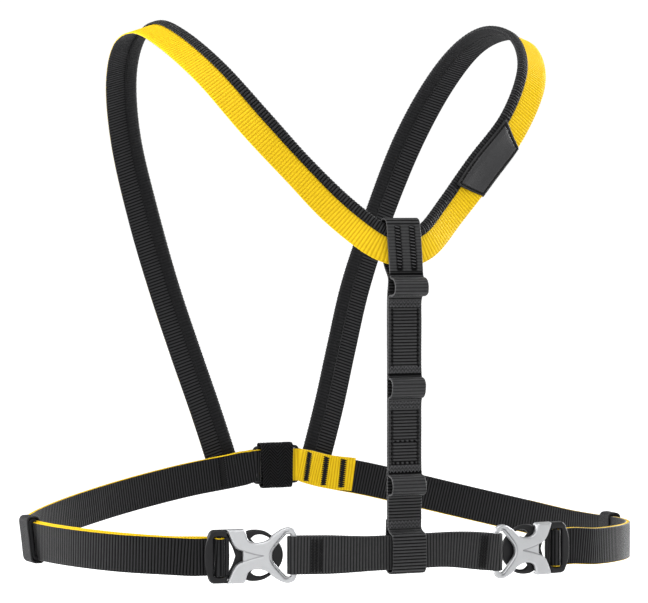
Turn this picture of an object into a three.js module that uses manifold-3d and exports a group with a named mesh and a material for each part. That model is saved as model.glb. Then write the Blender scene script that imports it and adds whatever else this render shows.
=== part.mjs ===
// Chest harness with two-tone webbing shoulder straps, in the shape that it keeps on the body.
// Millimetres, +Z up. The front faces -Y, and x = 0 is the middle plane.
// The origin is midway between the two places where the straps sit on the shoulders.

import * as THREE from 'three';
import { mergeVertices } from 'three/addons/utils/BufferGeometryUtils.js';
import loadManifold from 'manifold-3d';

const wasm = await loadManifold();
wasm.setup();

// Webbing
const WEB_WIDTH = 25;
const WEB_THICK = 1.6;
const LAYER_GAP = 0.35;
const LAYER_PITCH = WEB_THICK + LAYER_GAP;
const TURN_GAP = 0.65;

// Shoulder strap: the rows run from the middle of the front V, over a shoulder, to the rear belt.
// neck and arm are the strap's two edges, each as x, y, z.
const SHOULDER_ROWS = [
  { neck: [0, -136, -138], arm: [0, -138, -163] },
  { neck: [6, -136, -137], arm: [13, -137.6, -161] },
  { neck: [13, -134.8, -134], arm: [26, -133.4, -154] },
  { neck: [33, -123.5, -116], arm: [50, -121, -133] },
  { neck: [57, -113, -90], arm: [75, -116, -107] },
  { neck: [84, -109, -61], arm: [102, -108, -76] },
  { neck: [107, -87, -28], arm: [127, -89, -41] },
  { neck: [120, -45, -4], arm: [143, -44, -13] },
  { neck: [121, 0, 4], arm: [145, 0, -4] },
  { neck: [119, 43, -5], arm: [143, 45, -11] },
  { neck: [112, 81, -29], arm: [137, 81, -36] },
  { neck: [100, 111, -71], arm: [123, 110, -79] },
  { neck: [82, 124, -128], arm: [104, 126, -136] },
  { neck: [65.5, 129, -180], arm: [87, 129, -187] },
  { neck: [51.5, 123, -226], arm: [73, 123, -233] },
  { neck: [38.5, 116, -268], arm: [60, 115.5, -276] },
  { neck: [27.5, 112.7, -304], arm: [49, 112.5, -311] },
  { neck: [20, 112.5, -329], arm: [41.5, 112.5, -335] },
];
const SHOULDER_WIDTH = 24;
const SHOULDER_STEPS = 120;
const WEB_CREASE = 16;

// Edge binding: a folded tape over the neck edge of the shoulder strap
const BINDING_THICK = 1;
const BINDING_CROWN = 0.5;
const BINDING_OUTER_FLAP = 7.5;
const BINDING_INNER_FLAP = 10;
const WEB_NECK_INSET = BINDING_THICK + LAYER_GAP;

// Side patch: a plain tab sewn round the arm edge of the front strap, between two of the rows above
const PATCH_THICK = 0.9;
const PATCH_NECK_MARGIN = 3;
const PATCH_LOW_ROW = 3.38;
const PATCH_HIGH_ROW = 4.95;
const PATCH_SLANT_LOW = 0.27;
const PATCH_SLANT_HIGH = -0.2;
const PATCH_STEP = { from: BINDING_OUTER_FLAP + 1, to: BINDING_OUTER_FLAP + 4 };
const PATCH_RETURN = 7;
const PATCH_STEPS = 10;

// Front riser: webbing folded over the V and sewn into three gear loops and a belt loop
const RISER_X = -1.7;
const RISER_WIDTH = 23.4;
const RISER_WEB = 1.5;
const RISER_FRONT = -143.2;
const RISER_TOP = -130.5;
const RISER_FOLD = 4;
const RISER_EASE = 6;
const V_SPACE = { front: -140.6, back: -132, bottom: -165.5 };
const BELT_SPACE = { front: -149.7, back: -139.4, top: -336.8, bottom: -363 };
const SPACE_CHAMFER = 1;
// reach is how far a loop stands forward, and crest where it does so, from its top (0) to its bottom (1)
const GEAR_LOOPS = [
  { top: -168, bottom: -183, reach: 11, crest: 0.75 },
  { top: -232, bottom: -249, reach: 8, crest: 0.35 },
  { top: -297, bottom: -313.5, reach: 10.5, crest: 0.65 },
];

// Belt: centre of the layer that carries the load, from beside a buckle round to the rear ring
const BELT_LEFT_ROWS = [
  [-156, -119.5, -347.3],
  [-183, -100, -346.4],
  [-204, -73, -345.7],
  [-216.5, -40, -345.3],
  [-219.5, -8, -345.2],
  [-206, 27, -345],
  [-176, 57.5, -340.5],
  [-140, 79, -334.5],
  [-105, 92, -328.5],
  [-65, 100.5, -322],
  [-36, 102.4, -318],
];
const BELT_RIGHT_ROWS = [
  [148, -121.5, -355.8],
  [177, -103, -357],
  [198.5, -76, -358.2],
  [210.5, -43, -359.6],
  [212.5, -11, -361],
  [203, 23, -360],
  [181, 51.5, -354.3],
  [148, 75, -346],
  [111, 91.5, -336.5],
  [75, 101.6, -327.5],
  [42, 107, -320.5],
];
const TAIL_LEFT = { rows: 5, drop: 1.3 };
const TAIL_RIGHT = { rows: 6, drop: 0.3 };
const BELT_STEP = 9;
const ROLL_POINTS = 9;

// Keepers: elastic bands round both layers of the belt
const KEEPER_WALL = 1.2;
const KEEPER_HEIGHT = 30.6;
const KEEPER_LENGTH = 14;
const KEEPER_SLACK = 3;
const KEEPER_LEFT_ROW = 3.5;
const KEEPER_RIGHT_ROW = 3.85;

// Rear ring and the elastic sleeve over it
const RING = {
  x: 2.5, y: 105.2, z: -314.5, length: 37, height: 30,
  bar: 2.8, rail: 2.1, thick: 2.6, corner: 3,
};
const SLEEVE = { x: 2.8, length: 26, height: 33.6, depth: 10.6, wall: 1.3, corner: 2.2 };
const REAR_TAB_LEFT = 27;
const REAR_TAB_RIGHT = 48;

// Buckles: s runs out from the middle of the X, t up, n towards the front
const BUCKLE_ANGLE = THREE.MathUtils.degToRad(9.5);
const BUCKLE_LEFT = { side: -1, x: -100, y: -133.5, z: -349.4 };
const BUCKLE_RIGHT = { side: 1, x: 89, y: -135, z: -354 };
const METAL_BACK = 0.3;
const METAL_THICK = 3.6;
const METAL_BEVEL = 0.7;
const EAR = { from: 9, to: 20.9, top: 17.8, lip: 2.1, depth: 3.2 };
const RING_BAR = { s: -23.3, width: 4.2, halfHeight: 13.6 };
const FRAME_BACK = -3.2;
const FRAME_HUB_FRONT = -0.1;
const FRAME_RAIL_FRONT = 3.2;
const FRAME_END = 35.8;
const FRAME_START = 20.7;
const FRAME_HALF_HEIGHT = 17.6;
const PLUG_CLEARANCE = 0.5;
const END_BAR = { inner: 31.2, back: 0.2, halfHeight: 12 };
const SLOT_HALF_HEIGHT = 13;
const MIDDLE_BAR = { s: 25.6, radius: 1.8, sides: 10, bury: 1.5 };
const LOAD_LEVEL = -3;
const TAIL_LEVEL = LOAD_LEVEL + LAYER_PITCH;
const TAIL_STATIONS = [42, 36, 32.5];
const LOAD_STATIONS = [31, 36, 42];

// Outlines of the buckle's upper half, each a few points s, t that a smooth curve runs through.
// One that starts or ends at the middle line stops a little short of it.
const MID = 0.1;
const METAL_EAR_EDGE = [[10.6, MID], [11.6, 4], [14.5, 5.4], [17.2, 7.6], [19, 11.6], [EAR.to, 16.2]];
const METAL_NOTCH = [[8.5, 16.2], [6.6, 10.6], [3.2, 8.9], [-1.6, 8.9], [-6.4, 10.7], [-9.4, 13.6]];
const METAL_SHOULDER = [[-14.5, 17], [-19.3, 18.3], [-23.6, 16.9], [-25.4, 13.9]];
const METAL_RING_EDGE = [[-9, MID], [-9.6, 3], [-14, 8.8], [-18.4, RING_BAR.halfHeight]];
const FRAME_PRONG = [[8, 16.9], [0, 17.2], [-8.5, 13.6], [-14.5, 8.4], [-17.4, MID]];
const FRAME_WINDOW_TOP = [[4.4, 11.9], [0, 14.2], [-7.2, 12.2]];
const FRAME_WINDOW_LOW = [[-7.2, 12.2], [-1.5, 7.8], [4.4, 11.9]];
const FRAME_CORNER = [[35.2, 14.4], [32.8, 17.4], [30, FRAME_HALF_HEIGHT]];
const FRAME_WAIST = [[18.9, 10.4], [16.2, 5.2], [14.9, MID]];

// Chest strap: a flattened tube of two layers between the buckles
const CHEST_MIDDLE = {
  x: RISER_X, y: -144.3, z: -350.2, width: 22.6, spread: 2.5,
  quarter: 32, even: 20, full: 58,
};
const CHEST_STEPS = 72;

const YELLOW = new THREE.MeshStandardMaterial({ color: 0xf2c318, roughness: 0.8, metalness: 0 });
const BLACK = new THREE.MeshStandardMaterial({ color: 0x26272a, roughness: 0.85, metalness: 0 });
const PATCH_BLACK = new THREE.MeshStandardMaterial({ color: 0x1d1e20, roughness: 0.6, metalness: 0 });
const ELASTIC = new THREE.MeshStandardMaterial({ color: 0x2c2d30, roughness: 0.9, metalness: 0 });
const PLASTIC = new THREE.MeshStandardMaterial({ color: 0x1f2022, roughness: 0.45, metalness: 0 });
const ALUMINIUM = new THREE.MeshStandardMaterial({ color: 0xc9cccf, roughness: 0.35, metalness: 1 });

const UP = new THREE.Vector3(0, 0, 1);
const harness = new THREE.Group();

function addPiece(name, geometry, material, parent = harness) {
  const mesh = new THREE.Mesh(geometry, material);
  mesh.name = name;
  parent.add(mesh);
  return mesh;
}

// Stands an extruded piece up, so that its own y points up and its own z along the run
function standUp(mesh, run) {
  const basis = new THREE.Matrix4().makeBasis(UP.clone().cross(run), UP, run);
  mesh.quaternion.setFromRotationMatrix(basis);
}

// Indexed geometry whose faces point out, whichever way round it was listed
function facingOut(positions, index) {
  const corner = (k) => new THREE.Vector3().fromArray(positions, 3 * k);
  let volume = 0;
  for (let i = 0; i < index.length; i += 3) {
    volume += corner(index[i]).dot(corner(index[i + 1]).cross(corner(index[i + 2])));
  }
  const geometry = new THREE.BufferGeometry();
  geometry.setAttribute('position', new THREE.Float32BufferAttribute(positions, 3));
  geometry.setIndex(volume > 0 ? index : index.slice().reverse());
  return geometry;
}

// Joins rings of points into a closed skin: capped at both ends, or joined end to start
function loft(rings, section, endless = false) {
  const size = section.length;
  const index = [];
  const spans = endless ? rings.length : rings.length - 1;
  for (let i = 0; i < spans; i++) {
    const a = i * size;
    const b = ((i + 1) % rings.length) * size;
    for (let j = 0; j < size; j++) {
      const k = (j + 1) % size;
      index.push(a + j, a + k, b + k, a + j, b + k, b + j);
    }
  }
  if (!endless) {
    const last = (rings.length - 1) * size;
    for (const [p, q, r] of THREE.ShapeUtils.triangulateShape(section, [])) {
      index.push(r, q, p, last + p, last + q, last + r);
    }
  }
  const positions = rings.flat().flatMap((point) => point.toArray());
  return facingOut(positions, index);
}

function rectangle(width, thick) {
  const w = width / 2;
  const n = thick / 2;
  return [[-w, -n], [w, -n], [w, n], [-w, n]].map(([x, y]) => new THREE.Vector2(x, y));
}

// A section point set out from a frame's origin along its across and normal directions
function placed(frame, point) {
  return frame.origin.clone().addScaledVector(frame.across, point.x).addScaledVector(frame.normal, point.y);
}

function toSolid(geometry) {
  const bare = geometry.clone();
  bare.deleteAttribute('normal');
  bare.deleteAttribute('uv');
  const merged = mergeVertices(bare, 1e-4);
  const vertProperties = Float32Array.from(merged.attributes.position.array);
  const triVerts = Uint32Array.from(merged.index.array);
  return new wasm.Manifold(new wasm.Mesh({ numProp: 3, vertProperties, triVerts }));
}

function toGeometry(solid) {
  const { vertProperties, triVerts } = solid.getMesh();
  return facingOut(Array.from(vertProperties), Array.from(triVerts));
}

// Edges of the shoulder strap, left end to right end, with the table mirrored for the left side
function shoulderEdge(edge) {
  const right = SHOULDER_ROWS.map((row) => new THREE.Vector3(...row[edge]));
  const left = right.slice(1).reverse().map((p) => new THREE.Vector3(-p.x, p.y, p.z));
  return new THREE.CatmullRomCurve3([...left, ...right], false, 'centripetal');
}

const neckEdge = shoulderEdge('neck');
const armEdge = shoulderEdge('arm');

// Frame of the shoulder strap: origin on the neck edge, across towards the arm, normal out of the body
function shoulderFrame(share) {
  const middle = (u) => neckEdge.getPoint(u).add(armEdge.getPoint(u)).multiplyScalar(0.5);
  const small = 1e-3;
  const ahead = middle(Math.min(1, share + small));
  const along = ahead.sub(middle(Math.max(0, share - small))).normalize();
  const across = armEdge.getPoint(share).sub(neckEdge.getPoint(share)).normalize();
  const normal = across.clone().cross(along).normalize();
  const origin = middle(share).addScaledVector(across, -SHOULDER_WIDTH / 2);
  return { origin, across, normal };
}

// Shares along the strap that are evenly spaced by length
function evenShares(count) {
  const fine = 2000;
  const points = Array.from({ length: fine + 1 }, (_, i) => armEdge.getPoint(i / fine));
  const lengths = [0];
  for (let i = 1; i <= fine; i++) lengths.push(lengths[i - 1] + points[i].distanceTo(points[i - 1]));
  const shares = [];
  let at = 0;
  for (let i = 0; i <= count; i++) {
    const wanted = (lengths[fine] * i) / count;
    while (at < fine && lengths[at] < wanted) at++;
    shares.push(at / fine);
  }
  return shares;
}

const shoulderFrames = evenShares(SHOULDER_STEPS).map(shoulderFrame);

// Extra points across each face keep the twisted webbing close to what is sewn on to it
function makeShoulderWebbing() {
  const half = WEB_THICK / 2;
  const across = [WEB_NECK_INSET, BINDING_OUTER_FLAP, WEB_CREASE, SHOULDER_WIDTH];
  const inner = across.map((w) => new THREE.Vector2(w, -half));
  const outer = across.map((w) => new THREE.Vector2(w, half)).reverse();
  const section = [...inner, ...outer];
  return loft(shoulderFrames.map((frame) => section.map((point) => placed(frame, point))), section);
}

// The binding's section is a rounded U, with its longer flap on the body side
function makeEdgeBinding() {
  const inside = WEB_THICK / 2 + LAYER_GAP;
  const outside = inside + BINDING_THICK;
  const crown = outside + BINDING_CROWN;
  const section = [
    [BINDING_OUTER_FLAP, inside], [BINDING_OUTER_FLAP, outside], [BINDING_OUTER_FLAP / 2, crown],
    [BINDING_THICK, outside], [0, inside], [0, -inside], [BINDING_THICK, -outside],
    [BINDING_INNER_FLAP / 2, -crown], [BINDING_INNER_FLAP, -outside], [BINDING_INNER_FLAP, -inside],
    [BINDING_THICK, -inside], [BINDING_THICK, inside],
  ].map(([x, y]) => new THREE.Vector2(x, y));
  return loft(shoulderFrames.map((frame) => section.map((point) => placed(frame, point))), section);
}

// The patch laps over the binding's flap, covers the webbing and turns under the arm edge, with slanted ends
function makeSidePatch() {
  const inside = WEB_THICK / 2 + LAYER_GAP;
  const onFlap = inside + BINDING_THICK + BINDING_CROWN + LAYER_GAP;
  const edge = SHOULDER_WIDTH + LAYER_GAP;
  const under = [[PATCH_NECK_MARGIN, onFlap], [PATCH_STEP.from, onFlap], [PATCH_STEP.to, inside],
    [WEB_CREASE, inside], [edge, inside], [edge, -inside], [edge - PATCH_RETURN, -inside]];
  const over = [[edge - PATCH_RETURN, -inside - PATCH_THICK], [edge + PATCH_THICK, -inside - PATCH_THICK],
    [edge + PATCH_THICK, inside + PATCH_THICK], [WEB_CREASE, inside + PATCH_THICK],
    [PATCH_STEP.to, inside + PATCH_THICK], [PATCH_STEP.from, onFlap + PATCH_THICK],
    [PATCH_NECK_MARGIN, onFlap + PATCH_THICK]];
  const section = [...under, ...over].map(([x, y]) => new THREE.Vector2(x, y));
  const spans = 2 * (SHOULDER_ROWS.length - 1);
  const rings = [];
  for (let i = 0; i <= PATCH_STEPS; i++) {
    rings.push(section.map((point) => {
      const share = (point.x - PATCH_NECK_MARGIN) / (edge - PATCH_NECK_MARGIN);
      const low = PATCH_LOW_ROW + PATCH_SLANT_LOW * share;
      const high = PATCH_HIGH_ROW + PATCH_SLANT_HIGH * share;
      const row = THREE.MathUtils.lerp(low, high, i / PATCH_STEPS);
      return placed(shoulderFrame(0.5 + row / spans), point);
    }));
  }
  return loft(rings, section);
}

// Side view of the riser: x is forward (-Y in the part) and y is up
function riserOutline() {
  const front = -RISER_FRONT;
  const back = front - 2 * RISER_WEB;
  const vFront = -V_SPACE.front + RISER_WEB;
  const vBack = -V_SPACE.back - RISER_WEB;
  const beltFront = -BELT_SPACE.front + RISER_WEB;
  const beltBack = -BELT_SPACE.back - RISER_WEB;
  const low = BELT_SPACE.bottom - RISER_WEB;
  const outline = new THREE.Shape();
  outline.moveTo(vBack, RISER_TOP - RISER_FOLD);
  outline.lineTo(vBack, V_SPACE.bottom + RISER_EASE);
  outline.lineTo(back, V_SPACE.bottom - RISER_EASE);
  outline.lineTo(back, BELT_SPACE.top + RISER_EASE);
  outline.lineTo(beltBack, BELT_SPACE.top - RISER_WEB);
  outline.lineTo(beltBack, low + RISER_FOLD);
  outline.quadraticCurveTo(beltBack, low, beltBack + RISER_FOLD, low);
  outline.lineTo(beltFront - RISER_FOLD, low);
  outline.quadraticCurveTo(beltFront, low, beltFront, low + RISER_FOLD);
  outline.lineTo(beltFront, BELT_SPACE.top - RISER_FOLD);
  outline.quadraticCurveTo(beltFront, BELT_SPACE.top + RISER_WEB, front, BELT_SPACE.top + RISER_EASE);
  for (const loop of GEAR_LOOPS.slice().reverse()) {
    const crest = THREE.MathUtils.lerp(loop.top, loop.bottom, loop.crest);
    const out = front + loop.reach;
    outline.lineTo(front, loop.bottom);
    outline.quadraticCurveTo(out, loop.bottom, out, crest);
    outline.quadraticCurveTo(out, loop.top, front, loop.top);
  }
  outline.lineTo(front, V_SPACE.bottom - RISER_WEB);
  outline.lineTo(vFront, V_SPACE.bottom + RISER_EASE);
  outline.lineTo(vFront, RISER_TOP - RISER_FOLD);
  outline.quadraticCurveTo(vFront, RISER_TOP, vFront - RISER_FOLD, RISER_TOP);
  outline.lineTo(vBack + RISER_FOLD, RISER_TOP);
  outline.quadraticCurveTo(vBack, RISER_TOP, vBack, RISER_TOP - RISER_FOLD);
  return outline;
}

// The space that the shoulder strap passes through, closing to a wedge below
function riserVSpace() {
  const front = -V_SPACE.front;
  const back = -V_SPACE.back;
  const top = RISER_TOP - RISER_WEB;
  const space = new THREE.Path();
  space.moveTo(back, top - SPACE_CHAMFER);
  space.lineTo(back, V_SPACE.bottom + RISER_EASE);
  space.lineTo(front - SPACE_CHAMFER, V_SPACE.bottom);
  space.lineTo(front, V_SPACE.bottom + SPACE_CHAMFER);
  space.lineTo(front, top - SPACE_CHAMFER);
  space.lineTo(front - SPACE_CHAMFER, top);
  space.lineTo(back + SPACE_CHAMFER, top);
  return space;
}

// The space that the chest strap passes through
function riserBeltSpace() {
  const { top, bottom } = BELT_SPACE;
  const front = -BELT_SPACE.front;
  const back = -BELT_SPACE.back;
  const space = new THREE.Path();
  space.moveTo(back, top - RISER_WEB);
  space.lineTo(back, bottom + SPACE_CHAMFER);
  space.lineTo(back + SPACE_CHAMFER, bottom);
  space.lineTo(front - SPACE_CHAMFER, bottom);
  space.lineTo(front, bottom + SPACE_CHAMFER);
  space.lineTo(front, top - RISER_FOLD);
  space.quadraticCurveTo(front, top, -RISER_FRONT - RISER_WEB, top + SPACE_CHAMFER);
  return space;
}

// The space inside a gear loop
function riserLoopSpace(loop) {
  const front = -RISER_FRONT;
  const crest = THREE.MathUtils.lerp(loop.top, loop.bottom, loop.crest);
  const inner = front + loop.reach - RISER_WEB;
  const top = loop.top - RISER_WEB;
  const bottom = loop.bottom + RISER_WEB;
  const space = new THREE.Path();
  space.moveTo(front - RISER_WEB, top);
  space.lineTo(front - RISER_WEB, bottom);
  space.lineTo(front, bottom);
  space.quadraticCurveTo(inner, bottom, inner, crest);
  space.quadraticCurveTo(inner, top, front, top);
  return space;
}

function makeFrontRiser() {
  const outline = riserOutline();
  outline.holes.push(riserVSpace(), riserBeltSpace(), ...GEAR_LOOPS.map(riserLoopSpace));
  return new THREE.ExtrudeGeometry(outline, { depth: RISER_WIDTH, bevelEnabled: false, curveSegments: 6 });
}

// A point of a buckle's own s, n directions in the harness
function buckleWorld(buckle, s, n) {
  const along = new THREE.Vector3(buckle.side * Math.cos(BUCKLE_ANGLE), Math.sin(BUCKLE_ANGLE), 0);
  const out = new THREE.Vector3(buckle.side * Math.sin(BUCKLE_ANGLE), -Math.cos(BUCKLE_ANGLE), 0);
  return new THREE.Vector3(buckle.x, buckle.y, buckle.z).addScaledVector(along, s).addScaledVector(out, n);
}

// Centre line of webbing that turns round a bar, in the bar's own two directions
function turnRound(halfLength, halfThick, start, end) {
  const a = halfLength + TURN_GAP + WEB_THICK / 2;
  const b = halfThick + TURN_GAP + WEB_THICK / 2;
  return Array.from({ length: ROLL_POINTS }, (_, i) => {
    const angle = THREE.MathUtils.lerp(start, end, i / (ROLL_POINTS - 1));
    return [a * Math.cos(angle), b * Math.sin(angle)];
  });
}

// A row of points moved sideways in plan, outwards from the body
function besideRows(rows, distance) {
  return rows.map((row, i) => {
    const before = rows[Math.max(0, i - 1)];
    const after = rows[Math.min(rows.length - 1, i + 1)];
    const run = after.clone().sub(before).setZ(0).normalize();
    const side = new THREE.Vector3(run.y, -run.x, 0);
    const outward = side.dot(row) > 0 ? 1 : -1;
    return row.clone().addScaledVector(side, outward * distance);
  });
}

// Sweeps the flat webbing section along a centre line that stays close to level
function sweepBand(points, steps, widthAt = () => WEB_WIDTH, endless = false) {
  const curve = new THREE.CatmullRomCurve3(points, endless, 'centripetal');
  const shares = bendShares(curve, steps, endless);
  const rings = shares.map((share) => {
    const along = curve.getTangent(share);
    const across = UP.clone().addScaledVector(along, -UP.dot(along)).normalize();
    const normal = along.clone().cross(across);
    const frame = { origin: curve.getPoint(share), across, normal };
    return rectangle(widthAt(frame.origin), WEB_THICK).map((point) => placed(frame, point));
  });
  return loft(rings, rectangle(WEB_WIDTH, WEB_THICK), endless);
}

// Shares along a curve spaced by length, and more closely where it bends
function bendShares(curve, steps, endless) {
  const fine = 1500;
  const bendWeight = 9;
  const measure = [0];
  let before = curve.getPoint(0);
  let heading = curve.getTangent(0);
  for (let i = 1; i <= fine; i++) {
    const point = curve.getPoint(i / fine);
    const turned = curve.getTangent(i / fine);
    measure.push(measure[i - 1] + point.distanceTo(before) + bendWeight * turned.angleTo(heading));
    before = point;
    heading = turned;
  }
  const shares = [];
  let at = 0;
  for (let i = 0; i < (endless ? steps : steps + 1); i++) {
    const wanted = (measure[fine] * i) / steps;
    while (at < fine && measure[at] < wanted) at++;
    shares.push(at / fine);
  }
  return shares;
}

// A belt half: tail, turn round the buckle's middle bar, load layer, turn round the rear ring, rear tab
function makeBelt(buckle, rowTable, tailShape, rearTab) {
  const rows = rowTable.map((row) => new THREE.Vector3(...row));
  const tail = besideRows(rows, LAYER_PITCH).slice(0, tailShape.rows + 1).reverse();
  tail.forEach((point) => point.setZ(point.z - tailShape.drop));
  const nearBuckle = (s, n) => buckleWorld(buckle, s, n);
  const turn = turnRound(MIDDLE_BAR.radius, MIDDLE_BAR.radius, 0, 1.5 * Math.PI);
  const roll = turn.map(([s, n]) => nearBuckle(MIDDLE_BAR.s + s, n));
  const tailIn = TAIL_STATIONS.map((s) => nearBuckle(s, TAIL_LEVEL));
  const loadOut = LOAD_STATIONS.map((s) => nearBuckle(s, LOAD_LEVEL));
  const barX = RING.x + buckle.side * (RING.length - RING.bar) / 2;
  const half = turnRound(RING.bar / 2, RING.thick / 2, 0.5 * Math.PI, 1.5 * Math.PI);
  const onRing = (x, y) => new THREE.Vector3(barX + buckle.side * x, RING.y + buckle.side * y, RING.z);
  const fold = half.map(([x, y]) => onRing(x, y));
  const last = rows[rows.length - 1];
  const slope = rows[rows.length - 2].clone().sub(last).normalize();
  const tabStart = last.clone().add(new THREE.Vector3(0, -buckle.side * LAYER_PITCH, 0));
  const tab = [tabStart, tabStart.clone().addScaledVector(slope, rearTab / 2)];
  const points = [...tail, ...tailIn, ...roll, ...loadOut, ...rows, ...fold, ...tab];
  const length = new THREE.CatmullRomCurve3(points).getLength();
  return sweepBand(points, Math.round(length / BELT_STEP) + 4 * ROLL_POINTS);
}

// A slack elastic band round the belt's two layers, part of the way between two of its rows
function makeKeeper(rowTable, row) {
  const rows = rowTable.map((point) => new THREE.Vector3(...point));
  const middleRows = besideRows(rows, (LAYER_PITCH + KEEPER_SLACK) / 2);
  const route = new THREE.CatmullRomCurve3(middleRows, false, 'centripetal');
  const share = row / (rows.length - 1);
  const depth = LAYER_PITCH + WEB_THICK + 4 * LAYER_GAP + KEEPER_SLACK;
  const outline = roundedShape(depth + 2 * KEEPER_WALL, KEEPER_HEIGHT, depth / 2);
  outline.holes.push(roundedShape(depth, KEEPER_HEIGHT - 2 * KEEPER_WALL, depth / 2 - KEEPER_WALL));
  const geometry = tube(outline, KEEPER_LENGTH);
  return { geometry, centre: route.getPoint(share), run: route.getTangent(share).setZ(0).normalize() };
}

function roundedShape(width, height, radius) {
  const w = width / 2;
  const h = height / 2;
  const shape = new THREE.Shape();
  shape.moveTo(-w + radius, -h);
  shape.lineTo(w - radius, -h);
  shape.quadraticCurveTo(w, -h, w, -h + radius);
  shape.lineTo(w, h - radius);
  shape.quadraticCurveTo(w, h, w - radius, h);
  shape.lineTo(-w + radius, h);
  shape.quadraticCurveTo(-w, h, -w, h - radius);
  shape.lineTo(-w, -h + radius);
  shape.quadraticCurveTo(-w, -h, -w + radius, -h);
  return shape;
}

// An outline drawn out to a length, with its middle at zero
function tube(outline, length) {
  const options = { depth: length, bevelEnabled: false, curveSegments: 5 };
  const geometry = new THREE.ExtrudeGeometry(outline, options);
  return geometry.translate(0, 0, -length / 2);
}

function makeRearRing() {
  const outline = roundedShape(RING.length, RING.height, RING.corner);
  const hollow = roundedShape(RING.length - 2 * RING.bar, RING.height - 2 * RING.rail, RING.corner / 4);
  outline.holes.push(hollow);
  return tube(outline, RING.thick);
}

function makeRearSleeve() {
  const { depth, height, wall, corner } = SLEEVE;
  const outline = roundedShape(depth, height, corner);
  outline.holes.push(roundedShape(depth - 2 * wall, height - 2 * wall, corner - wall / 2));
  return tube(outline, SLEEVE.length);
}

// A closed outline from the points of its upper half and their mirror image
function mirroredOutline(upper) {
  const all = [...upper, ...upper.slice().reverse().map(([s, t]) => [s, -t])];
  return new THREE.Shape(all.map(([s, t]) => new THREE.Vector2(s, t)));
}

// Points along a smooth curve through a few hand-set ones
function eased(points, count) {
  const curve = new THREE.SplineCurve(points.map(([s, t]) => new THREE.Vector2(s, t)));
  return curve.getPoints(count).map((point) => [point.x, point.y]);
}

function plate(shape, back, front) {
  const geometry = new THREE.ExtrudeGeometry(shape, { depth: front - back, bevelEnabled: false });
  return toSolid(geometry.translate(0, 0, back));
}

function block(low, high) {
  const size = high.map((value, axis) => value - low[axis]);
  const middle = high.map((value, axis) => (value + low[axis]) / 2);
  return toSolid(new THREE.BoxGeometry(...size).translate(...middle));
}

// Metal body: an X whose outer arms end in ears and whose inner arms close into a ring for the chest strap
function makeBuckleMetal() {
  const earTop = [[EAR.to, EAR.top], [EAR.from, EAR.top]];
  const ear = [...eased(METAL_EAR_EDGE, 10), ...earTop];
  const outline = mirroredOutline([...ear, ...eased(METAL_NOTCH, 10), ...eased(METAL_SHOULDER, 6)]);
  const barEdge = [RING_BAR.s + RING_BAR.width / 2, RING_BAR.halfHeight];
  outline.holes.push(mirroredOutline([...eased(METAL_RING_EDGE, 7), barEdge]));
  const body = new THREE.ExtrudeGeometry(outline, {
    depth: METAL_THICK - 2 * METAL_BEVEL,
    bevelThickness: METAL_BEVEL,
    bevelSize: METAL_BEVEL,
    bevelOffset: -METAL_BEVEL,
    bevelSegments: 1,
  });
  let solid = toSolid(body.translate(0, 0, METAL_BACK + METAL_BEVEL));
  const lipFront = METAL_BACK + METAL_THICK - METAL_BEVEL;
  const lipTop = EAR.top - MID;
  const lipLow = lipTop - EAR.lip;
  for (const [low, high] of [[lipLow, lipTop], [-lipTop, -lipLow]]) {
    solid = solid.add(block([EAR.from + MID, low, -EAR.depth], [EAR.to - METAL_BEVEL, high, lipFront]));
  }
  return toGeometry(solid);
}

// A prong's window, in the upper half of the plug or mirrored below
function plugWindow(up) {
  const rim = [...eased(FRAME_WINDOW_TOP, 6), ...eased(FRAME_WINDOW_LOW, 6).slice(1, -1)];
  return new THREE.Shape(rim.map(([s, t]) => new THREE.Vector2(s, up * t)));
}

// Plastic frame: an end bar and middle bar for the belt, and a two-pronged plug under the metal
function makeBuckleFrame() {
  const inLip = EAR.top - EAR.lip - PLUG_CLEARANCE;
  const plug = mirroredOutline([[EAR.to - PLUG_CLEARANCE, MID], [EAR.to, inLip], [EAR.from, inLip],
    ...eased(FRAME_PRONG, 12)]);
  plug.holes.push(plugWindow(1), plugWindow(-1));
  const rim = mirroredOutline([[FRAME_END, END_BAR.halfHeight], ...eased(FRAME_CORNER, 4),
    [FRAME_START + 1, FRAME_HALF_HEIGHT], [FRAME_START, inLip]]);
  const slot = mirroredOutline([[END_BAR.inner, SLOT_HALF_HEIGHT], [FRAME_WAIST[0][0], SLOT_HALF_HEIGHT],
    ...eased(FRAME_WAIST, 5)]);
  const under = [END_BAR.inner - 1, -SLOT_HALF_HEIGHT, FRAME_BACK - 1];
  const underBar = block(under, [FRAME_END + 1, SLOT_HALF_HEIGHT, END_BAR.back]);
  const barLength = 2 * (SLOT_HALF_HEIGHT + MIDDLE_BAR.bury);
  const { radius, sides } = MIDDLE_BAR;
  const middleBar = new THREE.CylinderGeometry(radius, radius, barLength, sides);
  middleBar.translate(MIDDLE_BAR.s, 0, 0);
  const solid = plate(plug, FRAME_BACK, FRAME_HUB_FRONT)
    .add(plate(rim, FRAME_BACK, FRAME_RAIL_FRONT))
    .subtract(plate(slot, FRAME_BACK - 1, FRAME_RAIL_FRONT + 1))
    .subtract(underBar)
    .add(toSolid(middleBar));
  return toGeometry(solid);
}

// The same geometry seen in a mirror that stands across s
function mirrored(geometry) {
  const flipped = geometry.clone().applyMatrix4(new THREE.Matrix4().makeScale(-1, 1, 1));
  return facingOut(Array.from(flipped.attributes.position.array), Array.from(flipped.index.array));
}

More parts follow.
